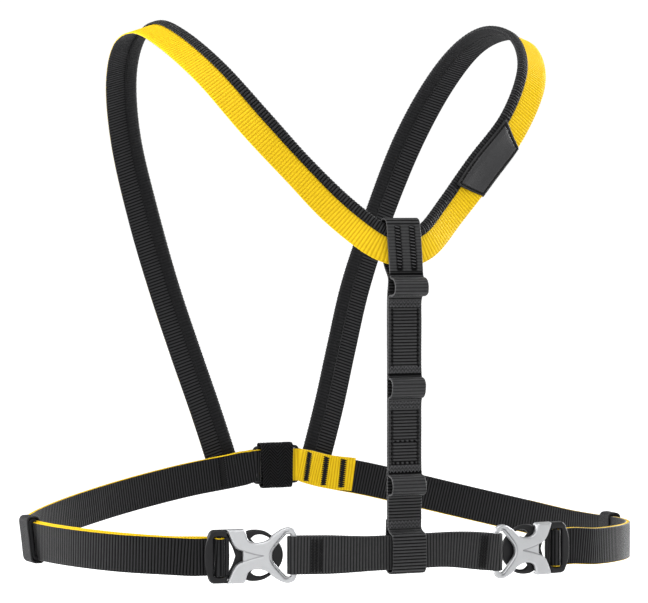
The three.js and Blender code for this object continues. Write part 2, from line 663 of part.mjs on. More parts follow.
function addBuckle(buckle, sideName, metal, frame) {
  const turned = new THREE.Group();
  turned.position.set(buckle.x, buckle.y, buckle.z);
  turned.rotation.z = buckle.side * BUCKLE_ANGLE;
  const upright = new THREE.Group();
  upright.rotation.x = Math.PI / 2;
  turned.add(upright);
  harness.add(turned);
  const shaped = (geometry) => (buckle.side > 0 ? geometry : mirrored(geometry));
  addPiece(`buckle_metal_${sideName}`, shaped(metal), ALUMINIUM, upright);
  addPiece(`buckle_frame_${sideName}`, shaped(frame), PLASTIC, upright);
}

// The chest strap runs endlessly: front layer, turn round one ring bar, back layer, turn round the other
function makeChestStrap() {
  const barLevel = METAL_BACK + METAL_THICK / 2;
  const turnAt = (buckle) => {
    const turn = turnRound(RING_BAR.width / 2, METAL_THICK / 2, 0.5 * Math.PI, -0.5 * Math.PI);
    return turn.map(([s, n]) => buckleWorld(buckle, RING_BAR.s + s, barLevel + n));
  };
  const middle = (side, shift) => new THREE.Vector3(
    CHEST_MIDDLE.x + shift, CHEST_MIDDLE.y + side * CHEST_MIDDLE.spread, CHEST_MIDDLE.z);
  const quarter = CHEST_MIDDLE.quarter;
  const right = turnAt(BUCKLE_RIGHT);
  const left = turnAt(BUCKLE_LEFT).reverse();
  const points = [
    middle(-1, -quarter), middle(-1, 0), middle(-1, quarter), ...right,
    middle(1, quarter), middle(1, 0), middle(1, -quarter), ...left,
  ];
  const widthAt = (point) => {
    const distance = Math.abs(point.x - CHEST_MIDDLE.x);
    const away = THREE.MathUtils.smoothstep(distance, CHEST_MIDDLE.even, CHEST_MIDDLE.full);
    return THREE.MathUtils.lerp(CHEST_MIDDLE.width, WEB_WIDTH, away);
  };
  return sweepBand(points, CHEST_STEPS, widthAt, true);
}

addPiece('shoulder_webbing', makeShoulderWebbing(), YELLOW);
addPiece('edge_binding', makeEdgeBinding(), BLACK);
addPiece('side_patch', makeSidePatch(), PATCH_BLACK);

const riser = addPiece('front_riser', makeFrontRiser(), BLACK);
riser.position.x = RISER_X + RISER_WIDTH / 2;
standUp(riser, new THREE.Vector3(-1, 0, 0));

addPiece('chest_strap', makeChestStrap(), BLACK);
const metal = makeBuckleMetal();
const frame = makeBuckleFrame();
addBuckle(BUCKLE_LEFT, 'left', metal, frame);
addBuckle(BUCKLE_RIGHT, 'right', metal, frame);
addPiece('belt_left', makeBelt(BUCKLE_LEFT, BELT_LEFT_ROWS, TAIL_LEFT, REAR_TAB_LEFT), YELLOW);
addPiece('belt_right', makeBelt(BUCKLE_RIGHT, BELT_RIGHT_ROWS, TAIL_RIGHT, REAR_TAB_RIGHT), YELLOW);

for (const [name, rows, row] of [
  ['keeper_left', BELT_LEFT_ROWS, KEEPER_LEFT_ROW],
  ['keeper_right', BELT_RIGHT_ROWS, KEEPER_RIGHT_ROW],
]) {
  const keeper = makeKeeper(rows, row);
  const mesh = addPiece(name, keeper.geometry, ELASTIC);
  mesh.position.copy(keeper.centre);
  standUp(mesh, keeper.run);
}

const ring = addPiece('rear_ring', makeRearRing(), PLASTIC);
ring.rotation.x = Math.PI / 2;
ring.position.set(RING.x, RING.y, RING.z);
const sleeve = addPiece('rear_sleeve', makeRearSleeve(), ELASTIC);
sleeve.position.set(SLEEVE.x, RING.y, RING.z);
standUp(sleeve, new THREE.Vector3(1, 0, 0));

export default harness;
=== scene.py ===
"""Looks of a chest harness.

It has bound two-tone shoulder straps, a sewn riser with gear loops, a belt and cast buckles. Every piece
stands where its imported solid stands, +Z up with the front at -Y. Tables and sizes are in millimetres.
"""

from __future__ import annotations

import logging
import math
from dataclasses import dataclass
from enum import Enum
from typing import Any, Callable, Sequence

import bmesh
import bpy
import numpy as np
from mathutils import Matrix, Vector
from mathutils.geometry import delaunay_2d_cdt


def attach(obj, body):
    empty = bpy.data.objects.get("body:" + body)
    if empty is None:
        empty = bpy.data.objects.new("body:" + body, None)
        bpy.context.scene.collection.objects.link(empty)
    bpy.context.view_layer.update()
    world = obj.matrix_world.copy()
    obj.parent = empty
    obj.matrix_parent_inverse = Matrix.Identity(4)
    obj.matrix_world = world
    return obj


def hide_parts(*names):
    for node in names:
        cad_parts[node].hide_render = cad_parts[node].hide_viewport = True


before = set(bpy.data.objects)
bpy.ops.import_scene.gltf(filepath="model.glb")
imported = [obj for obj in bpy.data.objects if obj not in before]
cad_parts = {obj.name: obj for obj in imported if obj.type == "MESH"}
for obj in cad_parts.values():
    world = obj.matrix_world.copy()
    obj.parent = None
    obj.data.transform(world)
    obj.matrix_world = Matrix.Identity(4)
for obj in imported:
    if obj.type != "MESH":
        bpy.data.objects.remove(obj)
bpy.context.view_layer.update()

Array = np.ndarray
Colour = tuple[float, float, float]
Pair = tuple[float, float]
Place = tuple[float, float, float]
Face = tuple[int, ...]
Relief = Callable[[Array], tuple[Array, Array]]
Level = Callable[[Array], Array]
LOG = logging.getLogger("harness")
MM = 0.001
UP = np.array((0.0, 0.0, 1.0))
RIGHT = np.array((1.0, 0.0, 0.0))
BODY = "root"

WEB_WIDTH = 25.0
WEB_THICK = 1.6
LAYER_GAP = 0.35
LAYER_PITCH = WEB_THICK + LAYER_GAP
TURN_GAP = 0.65
FRONT_FACING = -0.7


class Slot(Enum):
    """Material slots of the record."""

    TWO_TONE = "two_tone_webbing"
    WEBBING = "black_webbing"
    BINDING = "binding"
    PATCH = "patch"
    ELASTIC = "elastic"
    PLASTIC = "plastic"
    METAL = "aluminium"


class Side(Enum):
    """Sides of the harness, by the sign of x."""

    LEFT = -1
    RIGHT = 1


def smoothstep(low: float, high: float, value: Array) -> Array:
    """A smooth change from 0 at low to 1 at high.

    Args:
        low: where the change starts.
        high: where it ends.
        value: the places asked for.

    Returns:
        The share of the change at each place.
    """
    share = np.clip((value - low) / (high - low), 0.0, 1.0)
    return share * share * (3.0 - 2.0 * share)


def between(rise: Pair, fall: Pair, value: Array) -> Array:
    """1 between a smooth rise and a smooth fall, and 0 outside them."""
    return smoothstep(*rise, value) * (1.0 - smoothstep(*fall, value))


def plateau(offset: Array, half: float, power: int = 4) -> Array:
    """1 near an offset of 0, falling to 0 past half, the more sharply the higher the power."""
    return np.exp(-((offset / half) ** power))


def unit(vectors: Array) -> Array:
    """The vectors at length one."""
    return vectors / np.linalg.norm(vectors, axis=-1, keepdims=True)


def circle(count: int) -> Array:
    """Angles of evenly spaced places round a circle."""
    return 2.0 * math.pi * np.arange(count) / count


def lengths_along(line: Array) -> Array:
    """The length of a line up to each of its places."""
    return np.concatenate(([0.0], np.cumsum(np.linalg.norm(np.diff(line, axis=0), axis=1))))


def wall_faces(rings: int, size: int, closed: bool = False) -> list[Face]:
    """Faces between neighbouring rings of points.

    Args:
        rings: how many rings there are.
        size: how many points each has.
        closed: whether the last ring joins the first.

    Returns:
        The faces, ring by ring.
    """
    spans = rings if closed else rings - 1
    here = np.arange(spans)[:, None] * size
    ahead = (np.arange(spans)[:, None] + 1) % rings * size
    j, k = np.arange(size)[None, :], (np.arange(size)[None, :] + 1) % size
    quads = np.stack([here + j, ahead + j, ahead + k, here + k], axis=-1).reshape(-1, 4)
    return [tuple(quad) for quad in quads.tolist()]


def end_faces(rings: int, size: int) -> list[Face]:
    """Faces that close the first and the last ring."""
    return [tuple(range(size)), tuple(range((rings - 1) * size, rings * size))[::-1]]


class Value:
    """A number or colour that a node gives out, for use in expressions."""

    def __init__(self, shader: Nodes, socket: bpy.types.NodeSocket) -> None:
        """Keeps the socket and the shader that it belongs to."""
        self.shader = shader
        self.socket = socket

    def __add__(self, other: Value | float) -> Value:
        """Sum of two values."""
        return self.shader.math("ADD", self, other)

    def __radd__(self, other: float) -> Value:
        """Sum of a number and a value."""
        return self.shader.math("ADD", other, self)

    def __sub__(self, other: Value | float) -> Value:
        """Difference of two values."""
        return self.shader.math("SUBTRACT", self, other)

    def __rsub__(self, other: float) -> Value:
        """A number less a value."""
        return self.shader.math("SUBTRACT", other, self)

    def __mul__(self, other: Value | float) -> Value:
        """Product of two values."""
        return self.shader.math("MULTIPLY", self, other)

    def __rmul__(self, other: float) -> Value:
        """Product of a number and a value."""
        return self.shader.math("MULTIPLY", other, self)

    def sine(self) -> Value:
        """Sine of a value."""
        return self.shader.math("SINE", self, 0.0)


class Nodes:
    """Builds a node tree."""

    def __init__(self, tree: bpy.types.NodeTree) -> None:
        """Starts with an empty tree."""
        self.tree = tree
        self.tree.nodes.clear()

    def node(
        self, kind: str, settings: dict[str, Any] | None = None, sockets: dict[Any, Any] | None = None
    ) -> bpy.types.Node:
        """Adds a node.

        Args:
            kind: the node's type.
            settings: its settings, set before its sockets.
            sockets: values or links for its inputs, by name or number.

        Returns:
            The new node.
        """
        made = self.tree.nodes.new(kind)
        for key, value in (settings or {}).items():
            setattr(made, key, value)
        for key, value in (sockets or {}).items():
            self.feed(made.inputs[key], value)
        return made

    def feed(self, socket: bpy.types.NodeSocket, value: Any) -> None:
        """Links a value to a socket, or sets the socket to a constant number or colour.

        Args:
            socket: an input of a node.
            value: what it is given.
        """
        if isinstance(value, Value):
            self.tree.links.new(value.socket, socket)
        else:
            socket.default_value = (*value, 1.0) if isinstance(value, tuple) else value

    def math(self, operation: str, first: Value | float, second: Value | float) -> Value:
        """One Math node.

        Args:
            operation: the node's operation.
            first: its first value.
            second: its second value.

        Returns:
            The result.
        """
        made = self.node("ShaderNodeMath", {"operation": operation}, {0: first, 1: second})
        return Value(self, made.outputs[0])

    def mix(self, low: Value | Colour, high: Value | Colour, factor: Value) -> Value:
        """Mixes two colours.

        Args:
            low: the colour at factor 0.
            high: the colour at factor 1.
            factor: the share of high.

        Returns:
            The mixed colour.
        """
        made = self.node("ShaderNodeMix", {"data_type": "RGBA"}, {0: factor, 6: low, 7: high})
        return Value(self, made.outputs[2])

    def eased(self, value: Value, low: float, high: float) -> Value:
        """A smooth change from 0 to 1.

        Args:
            value: what changes.
            low: its value at 0.
            high: its value at 1.

        Returns:
            The share of the change.
        """
        settings = {"interpolation_type": "SMOOTHSTEP"}
        made = self.node("ShaderNodeMapRange", settings, {"Value": value, "From Min": low, "From Max": high})
        return Value(self, made.outputs[0])


class Shader(Nodes):
    """Builds the node tree of one material."""

    def __init__(self, name: str) -> None:
        """Starts an empty material with a principled surface.

        Args:
            name: the material's name.
        """
        self.material = bpy.data.materials.new(name)
        self.material.use_nodes = True
        super().__init__(self.material.node_tree)
        self.surface = self.node("ShaderNodeBsdfPrincipled")
        self.node("ShaderNodeOutputMaterial", {}, {"Surface": Value(self, self.surface.outputs["BSDF"])})

    def trait(self, name: str) -> Value:
        """A number that the mesh holds for each point."""
        made = self.node("ShaderNodeAttribute", {"attribute_name": name})
        return Value(self, made.outputs["Fac"])

    def noise(self, scale: float, detail: float = 3.0) -> Value:
        """Soft noise in the object's own space, from 0 to 1.

        Args:
            scale: how many features there are to a metre, about.
            detail: how many finer layers are added.

        Returns:
            The noise.
        """
        place = self.node("ShaderNodeTexCoord")
        sockets = {"Vector": Value(self, place.outputs["Object"]), "Scale": scale, "Detail": detail}
        return Value(self, self.node("ShaderNodeTexNoise", {}, sockets).outputs[0])

    def cells(self, scale: float) -> Value:
        """Distance to the nearest of many scattered points, for a grain.

        Args:
            scale: how many points there are to a metre, about.

        Returns:
            The distance.
        """
        place = self.node("ShaderNodeTexCoord")
        sockets = {"Vector": Value(self, place.outputs["Object"]), "Scale": scale}
        return Value(self, self.node("ShaderNodeTexVoronoi", {}, sockets).outputs["Distance"])

    def bump(self, height: Value, distance: float, strength: float = 1.0) -> Value:
        """A surface normal bent by a height.

        Args:
            height: the height, from 0 to 1.
            distance: how deep a height of 1 is, in metres.
            strength: how much of the bend is used.

        Returns:
            The normal.
        """
        sockets = {"Height": height, "Distance": distance, "Strength": strength}
        return Value(self, self.node("ShaderNodeBump", {}, sockets).outputs[0])

    def dress(self, **sockets: Any) -> bpy.types.Material:
        """Sets the surface's sockets, whose names have _ for a space.

        Args:
            sockets: values or links for the surface.

        Returns:
            The finished material.
        """
        for name, value in sockets.items():
            self.feed(self.surface.inputs[name.replace("_", " ")], value)
        return self.material


@dataclass(frozen=True)
class Finish:
    """A named finish whose material is made once."""

    name: str

    def material(self) -> bpy.types.Material:
        """The finish's material."""
        return bpy.data.materials.get(self.name) or self.make(Shader(self.name))

    def make(self, shader: Shader) -> bpy.types.Material:
        """Fills the shader in. Each kind of finish has its own way."""
        raise NotImplementedError


@dataclass(frozen=True)
class Woven(Finish):
    """Ribbed webbing: glossy yarn on the ribs, dull in the grooves, with painted shade darkening the grooves.
    """

    colour: Colour
    # Painted shade: the colour that the grooves and sunk places are darkened towards.
    groove: Colour
    gloss: float = 0.3
    sheen: float = 0.3
    # How strongly the grooves take the painted shade.
    depth: float = 1.0
    rough: float = 0.7
    yarn: float = 0.62
    yarn_depth: float = 0.00016
    yarn_tint: float = 0.22
    yarn_slope: float = 0.55
    mottling: float = 0.3

    def make(self, shader: Shader) -> bpy.types.Material:
        """Ribs come from the mesh, yarns and mottling from the nodes.

        Args:
            shader: what is filled in.

        Returns:
            The material.
        """
        crest = 1.0 - self.depth * (1.0 - shader.eased(shader.trait("crest"), 0.2, 0.95))
        mottle = shader.noise(420.0)
        turns = 2.0 * math.pi / self.yarn
        twill = (shader.trait("across") * turns + shader.trait("along") * (self.yarn_slope * turns)).sine()
        yarns = 0.5 + 0.5 * twill
        evenly = 0.88 - 0.5 * self.mottling - 0.5 * self.yarn_tint
        # light is the share of the rib colour; it is low in grooves and sunk places, and lays painted shade
        # there.
        light = crest * (evenly + self.yarn_tint * yarns + self.mottling * mottle)
        return shader.dress(
            Base_Color=shader.mix(self.groove, self.colour, light),
            Roughness=self.rough + 0.2 * (1.0 - crest),
            Specular_IOR_Level=0.08,
            Sheen_Weight=self.sheen,
            Sheen_Roughness=0.28,
            Coat_Weight=self.gloss * light,
            Coat_Roughness=0.45,
            Normal=shader.bump(yarns * crest + 0.4 * mottle, self.yarn_depth),
        )


@dataclass(frozen=True)
class Coated(Finish):
    """Smooth coated cloth with a fine leather grain, with painted shade on its sunk seam, its hem, its margin
    and its under side.
    """

    colour: Colour
    # A second tone, mixed in at random by grain and cloud.
    tone_and_groove_shade: Colour
    # Painted shade: the colour where the crest trait is low.
    sewn: Colour

    def make(self, shader: Shader) -> bpy.types.Material:
        """A cell grain, with a broad soft change in gloss.

        Args:
            shader: what is filled in.

        Returns:
            The material.
        """
        grain = shader.cells(1500.0)
        cloud = shader.noise(130.0)
        # raised is the share of the panel colour; where it is low, painted shade is laid.
        raised = shader.eased(shader.trait("crest"), 0.1, 0.9)
        panel = shader.mix(self.colour, self.tone_and_groove_shade, 0.25 * grain + 0.5 * cloud)
        return shader.dress(
            Base_Color=shader.mix(self.sewn, panel, raised),
            Roughness=0.42 + 0.2 * cloud,
            Specular_IOR_Level=0.2,
            Coat_Weight=0.45 * raised,
            Coat_Roughness=0.48,
            Normal=shader.bump(grain + 0.5 * cloud, 0.00012, strength=0.6),
        )


@dataclass(frozen=True)
class Moulded(Finish):
    """Moulded plastic with a fine spark texture."""

    colour: Colour
    high: Colour
    rough: float = 0.36

    def make(self, shader: Shader) -> bpy.types.Material:
        """A fine grain in the gloss and in the surface.

        Args:
            shader: what is filled in.

        Returns:
            The material.
        """
        spark = shader.noise(2600.0, detail=2.0)
        cloud = shader.noise(90.0)
        return shader.dress(
            Base_Color=shader.mix(self.colour, self.high, cloud),
            Roughness=self.rough + 0.14 * spark,
            Specular_IOR_Level=0.2,
            Normal=shader.bump(spark, 0.00006, strength=0.5),
        )


@dataclass(frozen=True)
class Cast(Finish):
    """Tumbled cast aluminium with a satin skin, and painted shade that darkens its grooves."""

    colour: Colour
    dull: Colour
    # Painted shade: the colour in the grooves.
    groove: Colour

    def make(self, shader: Shader) -> bpy.types.Material:
        """Fine tumbling marks, with a soft cloud in the gloss.

        Args:
            shader: what is filled in.

        Returns:
            The material.
        """
        marks = shader.noise(1900.0, detail=4.0)
        cloud = shader.noise(120.0)
        skin = shader.mix(self.dull, self.colour, 0.4 + 0.6 * cloud)
        return shader.dress(
            # Painted shade: the groove colour is laid where the crest trait is low, in the grooves.
            Base_Color=shader.mix(self.groove, skin, shader.trait("crest")),
            Metallic=1.0,
            Roughness=0.40 + 0.14 * marks + 0.06 * cloud,
            Normal=shader.bump(marks, 0.00005, strength=0.5),
        )


@dataclass(frozen=True)
class Sewn(Finish):
    """Twisted sewing thread."""

    colour: Colour
    shade: Colour

    def make(self, shader: Shader) -> bpy.types.Material:
        """A slight gloss with fine fibres.

        Args:
            shader: what is filled in.

        Returns:
            The material.
        """
        fibre = shader.noise(3000.0, detail=2.0)
        return shader.dress(
            Base_Color=shader.mix(self.shade, self.colour, fibre),
            Roughness=0.48 + 0.2 * fibre,
            Specular_IOR_Level=0.15,
            Normal=shader.bump(fibre, 0.00006),
        )


@dataclass(frozen=True)
class Painted(Finish):
    """Plain pale studio floor that brightens into the white of the room."""

    colour: Colour
    shade: Colour
    near: float = 1.1
    far: float = 1.5

    def make(self, shader: Shader) -> bpy.types.Material:
        """An even matt coat with the faintest cloud in it, lit by the room far from the object.

        Args:
            shader: what is filled in.

        Returns:
            The material.
        """
        place = Value(shader, shader.node("ShaderNodeTexCoord").outputs["Object"])
        reach = shader.node("ShaderNodeVectorMath", {"operation": "LENGTH"}, {0: place})
        far = shader.eased(Value(shader, reach.outputs["Value"]), self.near, self.far)
        return shader.dress(
            Base_Color=shader.mix(self.shade, self.colour, shader.noise(1.5)),
            Roughness=0.9,
            Emission_Color=shader.mix((0.0, 0.0, 0.0), self.colour, far),
            Emission_Strength=0.9,
        )


YELLOW = Woven(
    "ribbed_yellow", (0.652, 0.440, 0.0045), (0.34, 0.182, 0.0012),
    gloss=0.12, sheen=0.0, depth=0.6, yarn_depth=0.00006, yarn_tint=0.07,
)
BLACK = Woven(
    "ribbed_black", (0.0100, 0.0101, 0.0110), (0.0002, 0.0002, 0.0003),
    gloss=0.22, sheen=0.48, yarn_depth=0.00003, yarn_tint=0.1,
)
STRAP_BACK = Woven(
    "ribbed_strap_black", (0.0255, 0.0257, 0.0270), (0.0002, 0.0002, 0.0003),
    gloss=0.04, sheen=0.0, yarn_depth=0.00008,
)
DEEP_BLACK = Woven(
    "ribbed_deep_black", (0.0262, 0.0264, 0.0277), (0.0003, 0.0003, 0.0004), gloss=0.5, sheen=0.08, depth=0.97
)
TUBE_BLACK = Woven(
    "ribbed_tube_black", (0.0215, 0.0217, 0.0228), (0.0004, 0.0004, 0.0005), gloss=0.5, sheen=0.08, depth=0.8
)
TAPE = Woven("binding_tape", (0.017, 0.0172, 0.0185), (0.0005, 0.0005, 0.0006), sheen=0.1, yarn=0.5)
# A darker, duller copy of the tape for its inner flap: painted shade on the side turned to the body.
TAPE_BACK = Woven(
    "binding_tape_back", (0.0120, 0.0121, 0.0130), (0.0004, 0.0004, 0.0005), gloss=0.03, sheen=0.0, yarn=0.5
)
ELASTIC = Woven(
    "woven_elastic", (0.0095, 0.0095, 0.0105), (0.0002, 0.0002, 0.0002), gloss=0.12, sheen=0.0, yarn=0.45
)
KEEPER = Woven(
    "keeper_elastic", (0.0125, 0.0125, 0.0135), (0.004, 0.004, 0.0045),
    gloss=0.2, sheen=0.06, depth=0.5, yarn=0.45,
)
SMOOTH_BLACK = Coated("coated_tab", (0.010, 0.010, 0.011), (0.018, 0.018, 0.0195), (0.0006, 0.0006, 0.0006))
PLASTIC = Moulded("moulded_black", (0.004, 0.004, 0.0045), (0.009, 0.009, 0.010))
ALUMINIUM = Cast("satin_aluminium", (0.445, 0.45, 0.46), (0.375, 0.38, 0.39), (0.10, 0.10, 0.105))
THREAD = Sewn("black_thread", (0.004, 0.004, 0.0045), (0.0008, 0.0008, 0.0008))
# Black thread painted light grey: a painted highlight on the riser's stitches.
HIGHLIT_THREAD = Sewn("thread_painted_highlight", (0.080, 0.080, 0.084), (0.030, 0.030, 0.032))
FLOOR = Painted("pale_floor", (0.78, 0.78, 0.78), (0.75, 0.75, 0.75))


class Curve:
    """A smooth line through given points, open or closed."""

    NEAR = 1e-4
    DENSE = 6000

    def __init__(self, points: Sequence[Sequence[float]], closed: bool = False) -> None:
        """Keeps the points.

        Args:
            points: the places that the line runs through.
            closed: whether the last point joins the first.
        """
        self.points = np.array(points, float)
        self.closed = closed

    def at(self, shares: Array) -> Array:
        """Places on the line.

        Args:
            shares: how far along each one is, from 0 to 1 by the points' count.

        Returns:
            The places.
        """
        spans = len(self.points) - (0 if self.closed else 1)
        shares = np.mod(shares, 1.0) if self.closed else np.clip(shares, 0.0, 1.0)
        place = shares * spans
        index = np.clip(np.floor(place).astype(int), 0, spans - 1)
        share = (place - index)[..., None]
        if self.closed:
            p0, p1, p2, p3 = (self.points[(index + k) % spans] for k in (-1, 0, 1, 2))
        else:
            first = 2.0 * self.points[0] - self.points[1]
            last = 2.0 * self.points[-1] - self.points[-2]
            ends = np.vstack([first, self.points, last])
            p0, p1, p2, p3 = (ends[index + k] for k in range(4))
        d0, d1, d2 = (
            np.maximum(np.sqrt(np.linalg.norm(b - a, axis=-1, keepdims=True)), self.NEAR)
            for a, b in ((p0, p1), (p1, p2), (p2, p3))
        )
        start = ((p1 - p0) / d0 - (p2 - p0) / (d0 + d1) + (p2 - p1) / d1) * d1
        end = ((p2 - p1) / d1 - (p3 - p1) / (d1 + d2) + (p3 - p2) / d2) * d1
        square = 3.0 * (p2 - p1) - 2.0 * start - end
        cube = 2.0 * (p1 - p2) + start + end
        return p1 + share * (start + share * (square + share * cube))

    def along(self, shares: Array) -> Array:
        """Directions of the line at some shares."""
        return unit(self.at(shares + self.NEAR) - self.at(shares - self.NEAR))

    def measure(self) -> tuple[Array, Array]:
        """Many shares along the line, and the length up to each."""
        dense = np.linspace(0.0, 1.0, self.DENSE + 1)
        return dense, lengths_along(self.at(dense))

    def even(self, step: float, multiple: int = 1) -> tuple[Array, Array]:
        """Shares that are evenly spaced by length.

        Args:
            step: about how far apart they are.
            multiple: what the count of steps is a multiple of.

        Returns:
            The shares, and the length along the line at each.
        """
        dense, lengths = self.measure()
        count = multiple * max(1, round(lengths[-1] / (step * multiple)))
        wanted = np.linspace(0.0, lengths[-1], count + 1)
        if self.closed:
            wanted = wanted[:-1]
        return np.interp(wanted, lengths, dense), wanted


@dataclass(frozen=True)
class Weave:
    """Ribs across a woven band.

    They have a pitch and a height, some rows of points to each, and each second one may be lower.
    """

    pitch: float
    height: float
    rows: int = 4
    uneven: float = 0.0

    def heights(self, count: int, across: Array) -> Array:
        """Height of the weave over a band, from 0 in a groove to 1 on a rib.

        Args:
            count: how many rows of points the band has.
            across: where its points lie across it.

        Returns:
            A height for each row and point.
        """
        row = np.arange(count)
        ribs = np.abs(np.sin(math.pi * row / self.rows)) ** 0.8 * (1.0 - self.uneven * (row // self.rows % 2))
        return np.repeat(ribs[:, None], len(across), axis=1)


@dataclass(frozen=True)
class Herringbone(Weave):
    """Slanted ribs that turn back at each column."""

    column: float = 3.0

    def heights(self, count: int, across: Array) -> Array:
        """Height of the weave over a band, as for plain ribs.

        Args:
            count: how many rows of points the band has.
            across: where its points lie across it.

        Returns:
            A height for each row and point.
        """
        fold = np.abs(np.mod(across / self.column, 2.0) - 1.0) * self.column
        phase = np.arange(count)[:, None] / self.rows + fold[None, :] / self.pitch
        return 0.5 + 0.5 * np.sin(2.0 * math.pi * phase)


@dataclass
class Strip:
    """Frames along a band: where each row of points stands, and its directions across and out."""

    origin: Array
    across: Array
    normal: Array
    length: Array
    closed: bool = False

    def row_at(self, length: float) -> int:
        """The row of points that is nearest to a length along the band."""
        return int(np.argmin(np.abs(self.length - length)))


def level_strip(curve: Curve, weave: Weave, upright: float = 1.0) -> Strip:
    """Frames of a band that stands on edge all along.

    Args:
        curve: its centre line.
        weave: its weave, which sets the rows.
        upright: 1 or -1, which turns the band's outer face to the other side.

    Returns:
        The frames.
    """
    shares, length = curve.even(weave.pitch / weave.rows, weave.rows)
    along = curve.along(shares)
    across = unit(upright * (UP - along * along[:, 2:]))
    return Strip(curve.at(shares), across, np.cross(along, across), length, curve.closed)


def wrapped_strip(curve: Curve, weave: Weave, run: Array, out: float = 1.0) -> Strip:
    """Frames of a band that turns about one fixed direction, such as a loop or a fold.

    Args:
        curve: its centre line.
        weave: its weave, which sets the rows.
        run: the fixed direction, which lies across the band.
        out: 1 or -1, which turns the band's outer face to the other side.

    Returns:
        The frames.
    """
    shares, length = curve.even(weave.pitch / weave.rows, weave.rows)
    across = np.repeat(out * run[None, :], len(shares), axis=0)
    return Strip(curve.at(shares), across, np.cross(curve.along(shares), across), length, curve.closed)


@dataclass
class Section:
    """Closed outline of a band.

    It has points across and out, how much of the weave each point takes, and the finish of each span.
    """

    points: Array
    woven: Array
    slots: Array

    EDGE_WOVEN = 0.4

    @classmethod
    def webbing(
        cls, low: float, high: float, thick: float, count: int = 7, rim: float = 0.8, plain_high: bool = False
    ) -> Section:
        """A flat band with round edges, whose inner face has its own finish inside a rim.

        Args:
            low: where it starts across.
            high: where it ends across.
            thick: its thickness.
            count: points across the outer face.
            rim: how far the outer finish turns in over the inner face.
            plain_high: whether the high edge has no such rim.

        Returns:
            The section.
        """
        half, edge = thick / 2.0, 0.28 * thick
        outer = [(w, half) for w in np.linspace(low + edge, high - edge, count)]
        right = [(high - 0.25 * edge, 0.55 * half), (high, 0.0), (high - 0.25 * edge, -0.55 * half)]
        turned = max(rim, edge + 0.05)
        inner = [(w, -half) for w in (high - edge, *np.linspace(high - turned, low + turned, 5), low + edge)]
        left = [(low + 0.25 * edge, -0.55 * half), (low, 0.0), (low + 0.25 * edge, 0.55 * half)]
        points = np.array(outer + right + inner + left)
        edge_woven = [cls.EDGE_WOVEN] * len(right)
        woven = np.array([1.0] * count + edge_woven + [1.0] * len(inner) + edge_woven)
        # The inner finish runs from rim to rim, or else from the middle of one edge to that of the other
        slots = np.zeros(len(points), int)
        first = count + (4 if rim > 0.0 and not plain_high else 1)
        last = count + (8 if rim > 0.0 else 11)
        slots[first:last] = 1
        return cls(points, woven, slots)

    def outward(self) -> Array:
        """Directions out of the outline.

        Returns:
            A direction for each point.
        """
        ahead, behind = np.roll(self.points, -1, 0), np.roll(self.points, 1, 0)
        run = unit(ahead - behind)
        area = np.sum(self.points[:, 0] * ahead[:, 1] - self.points[:, 1] * ahead[:, 0])
        return math.copysign(1.0, area) * np.stack([run[:, 1], -run[:, 0]], axis=1)


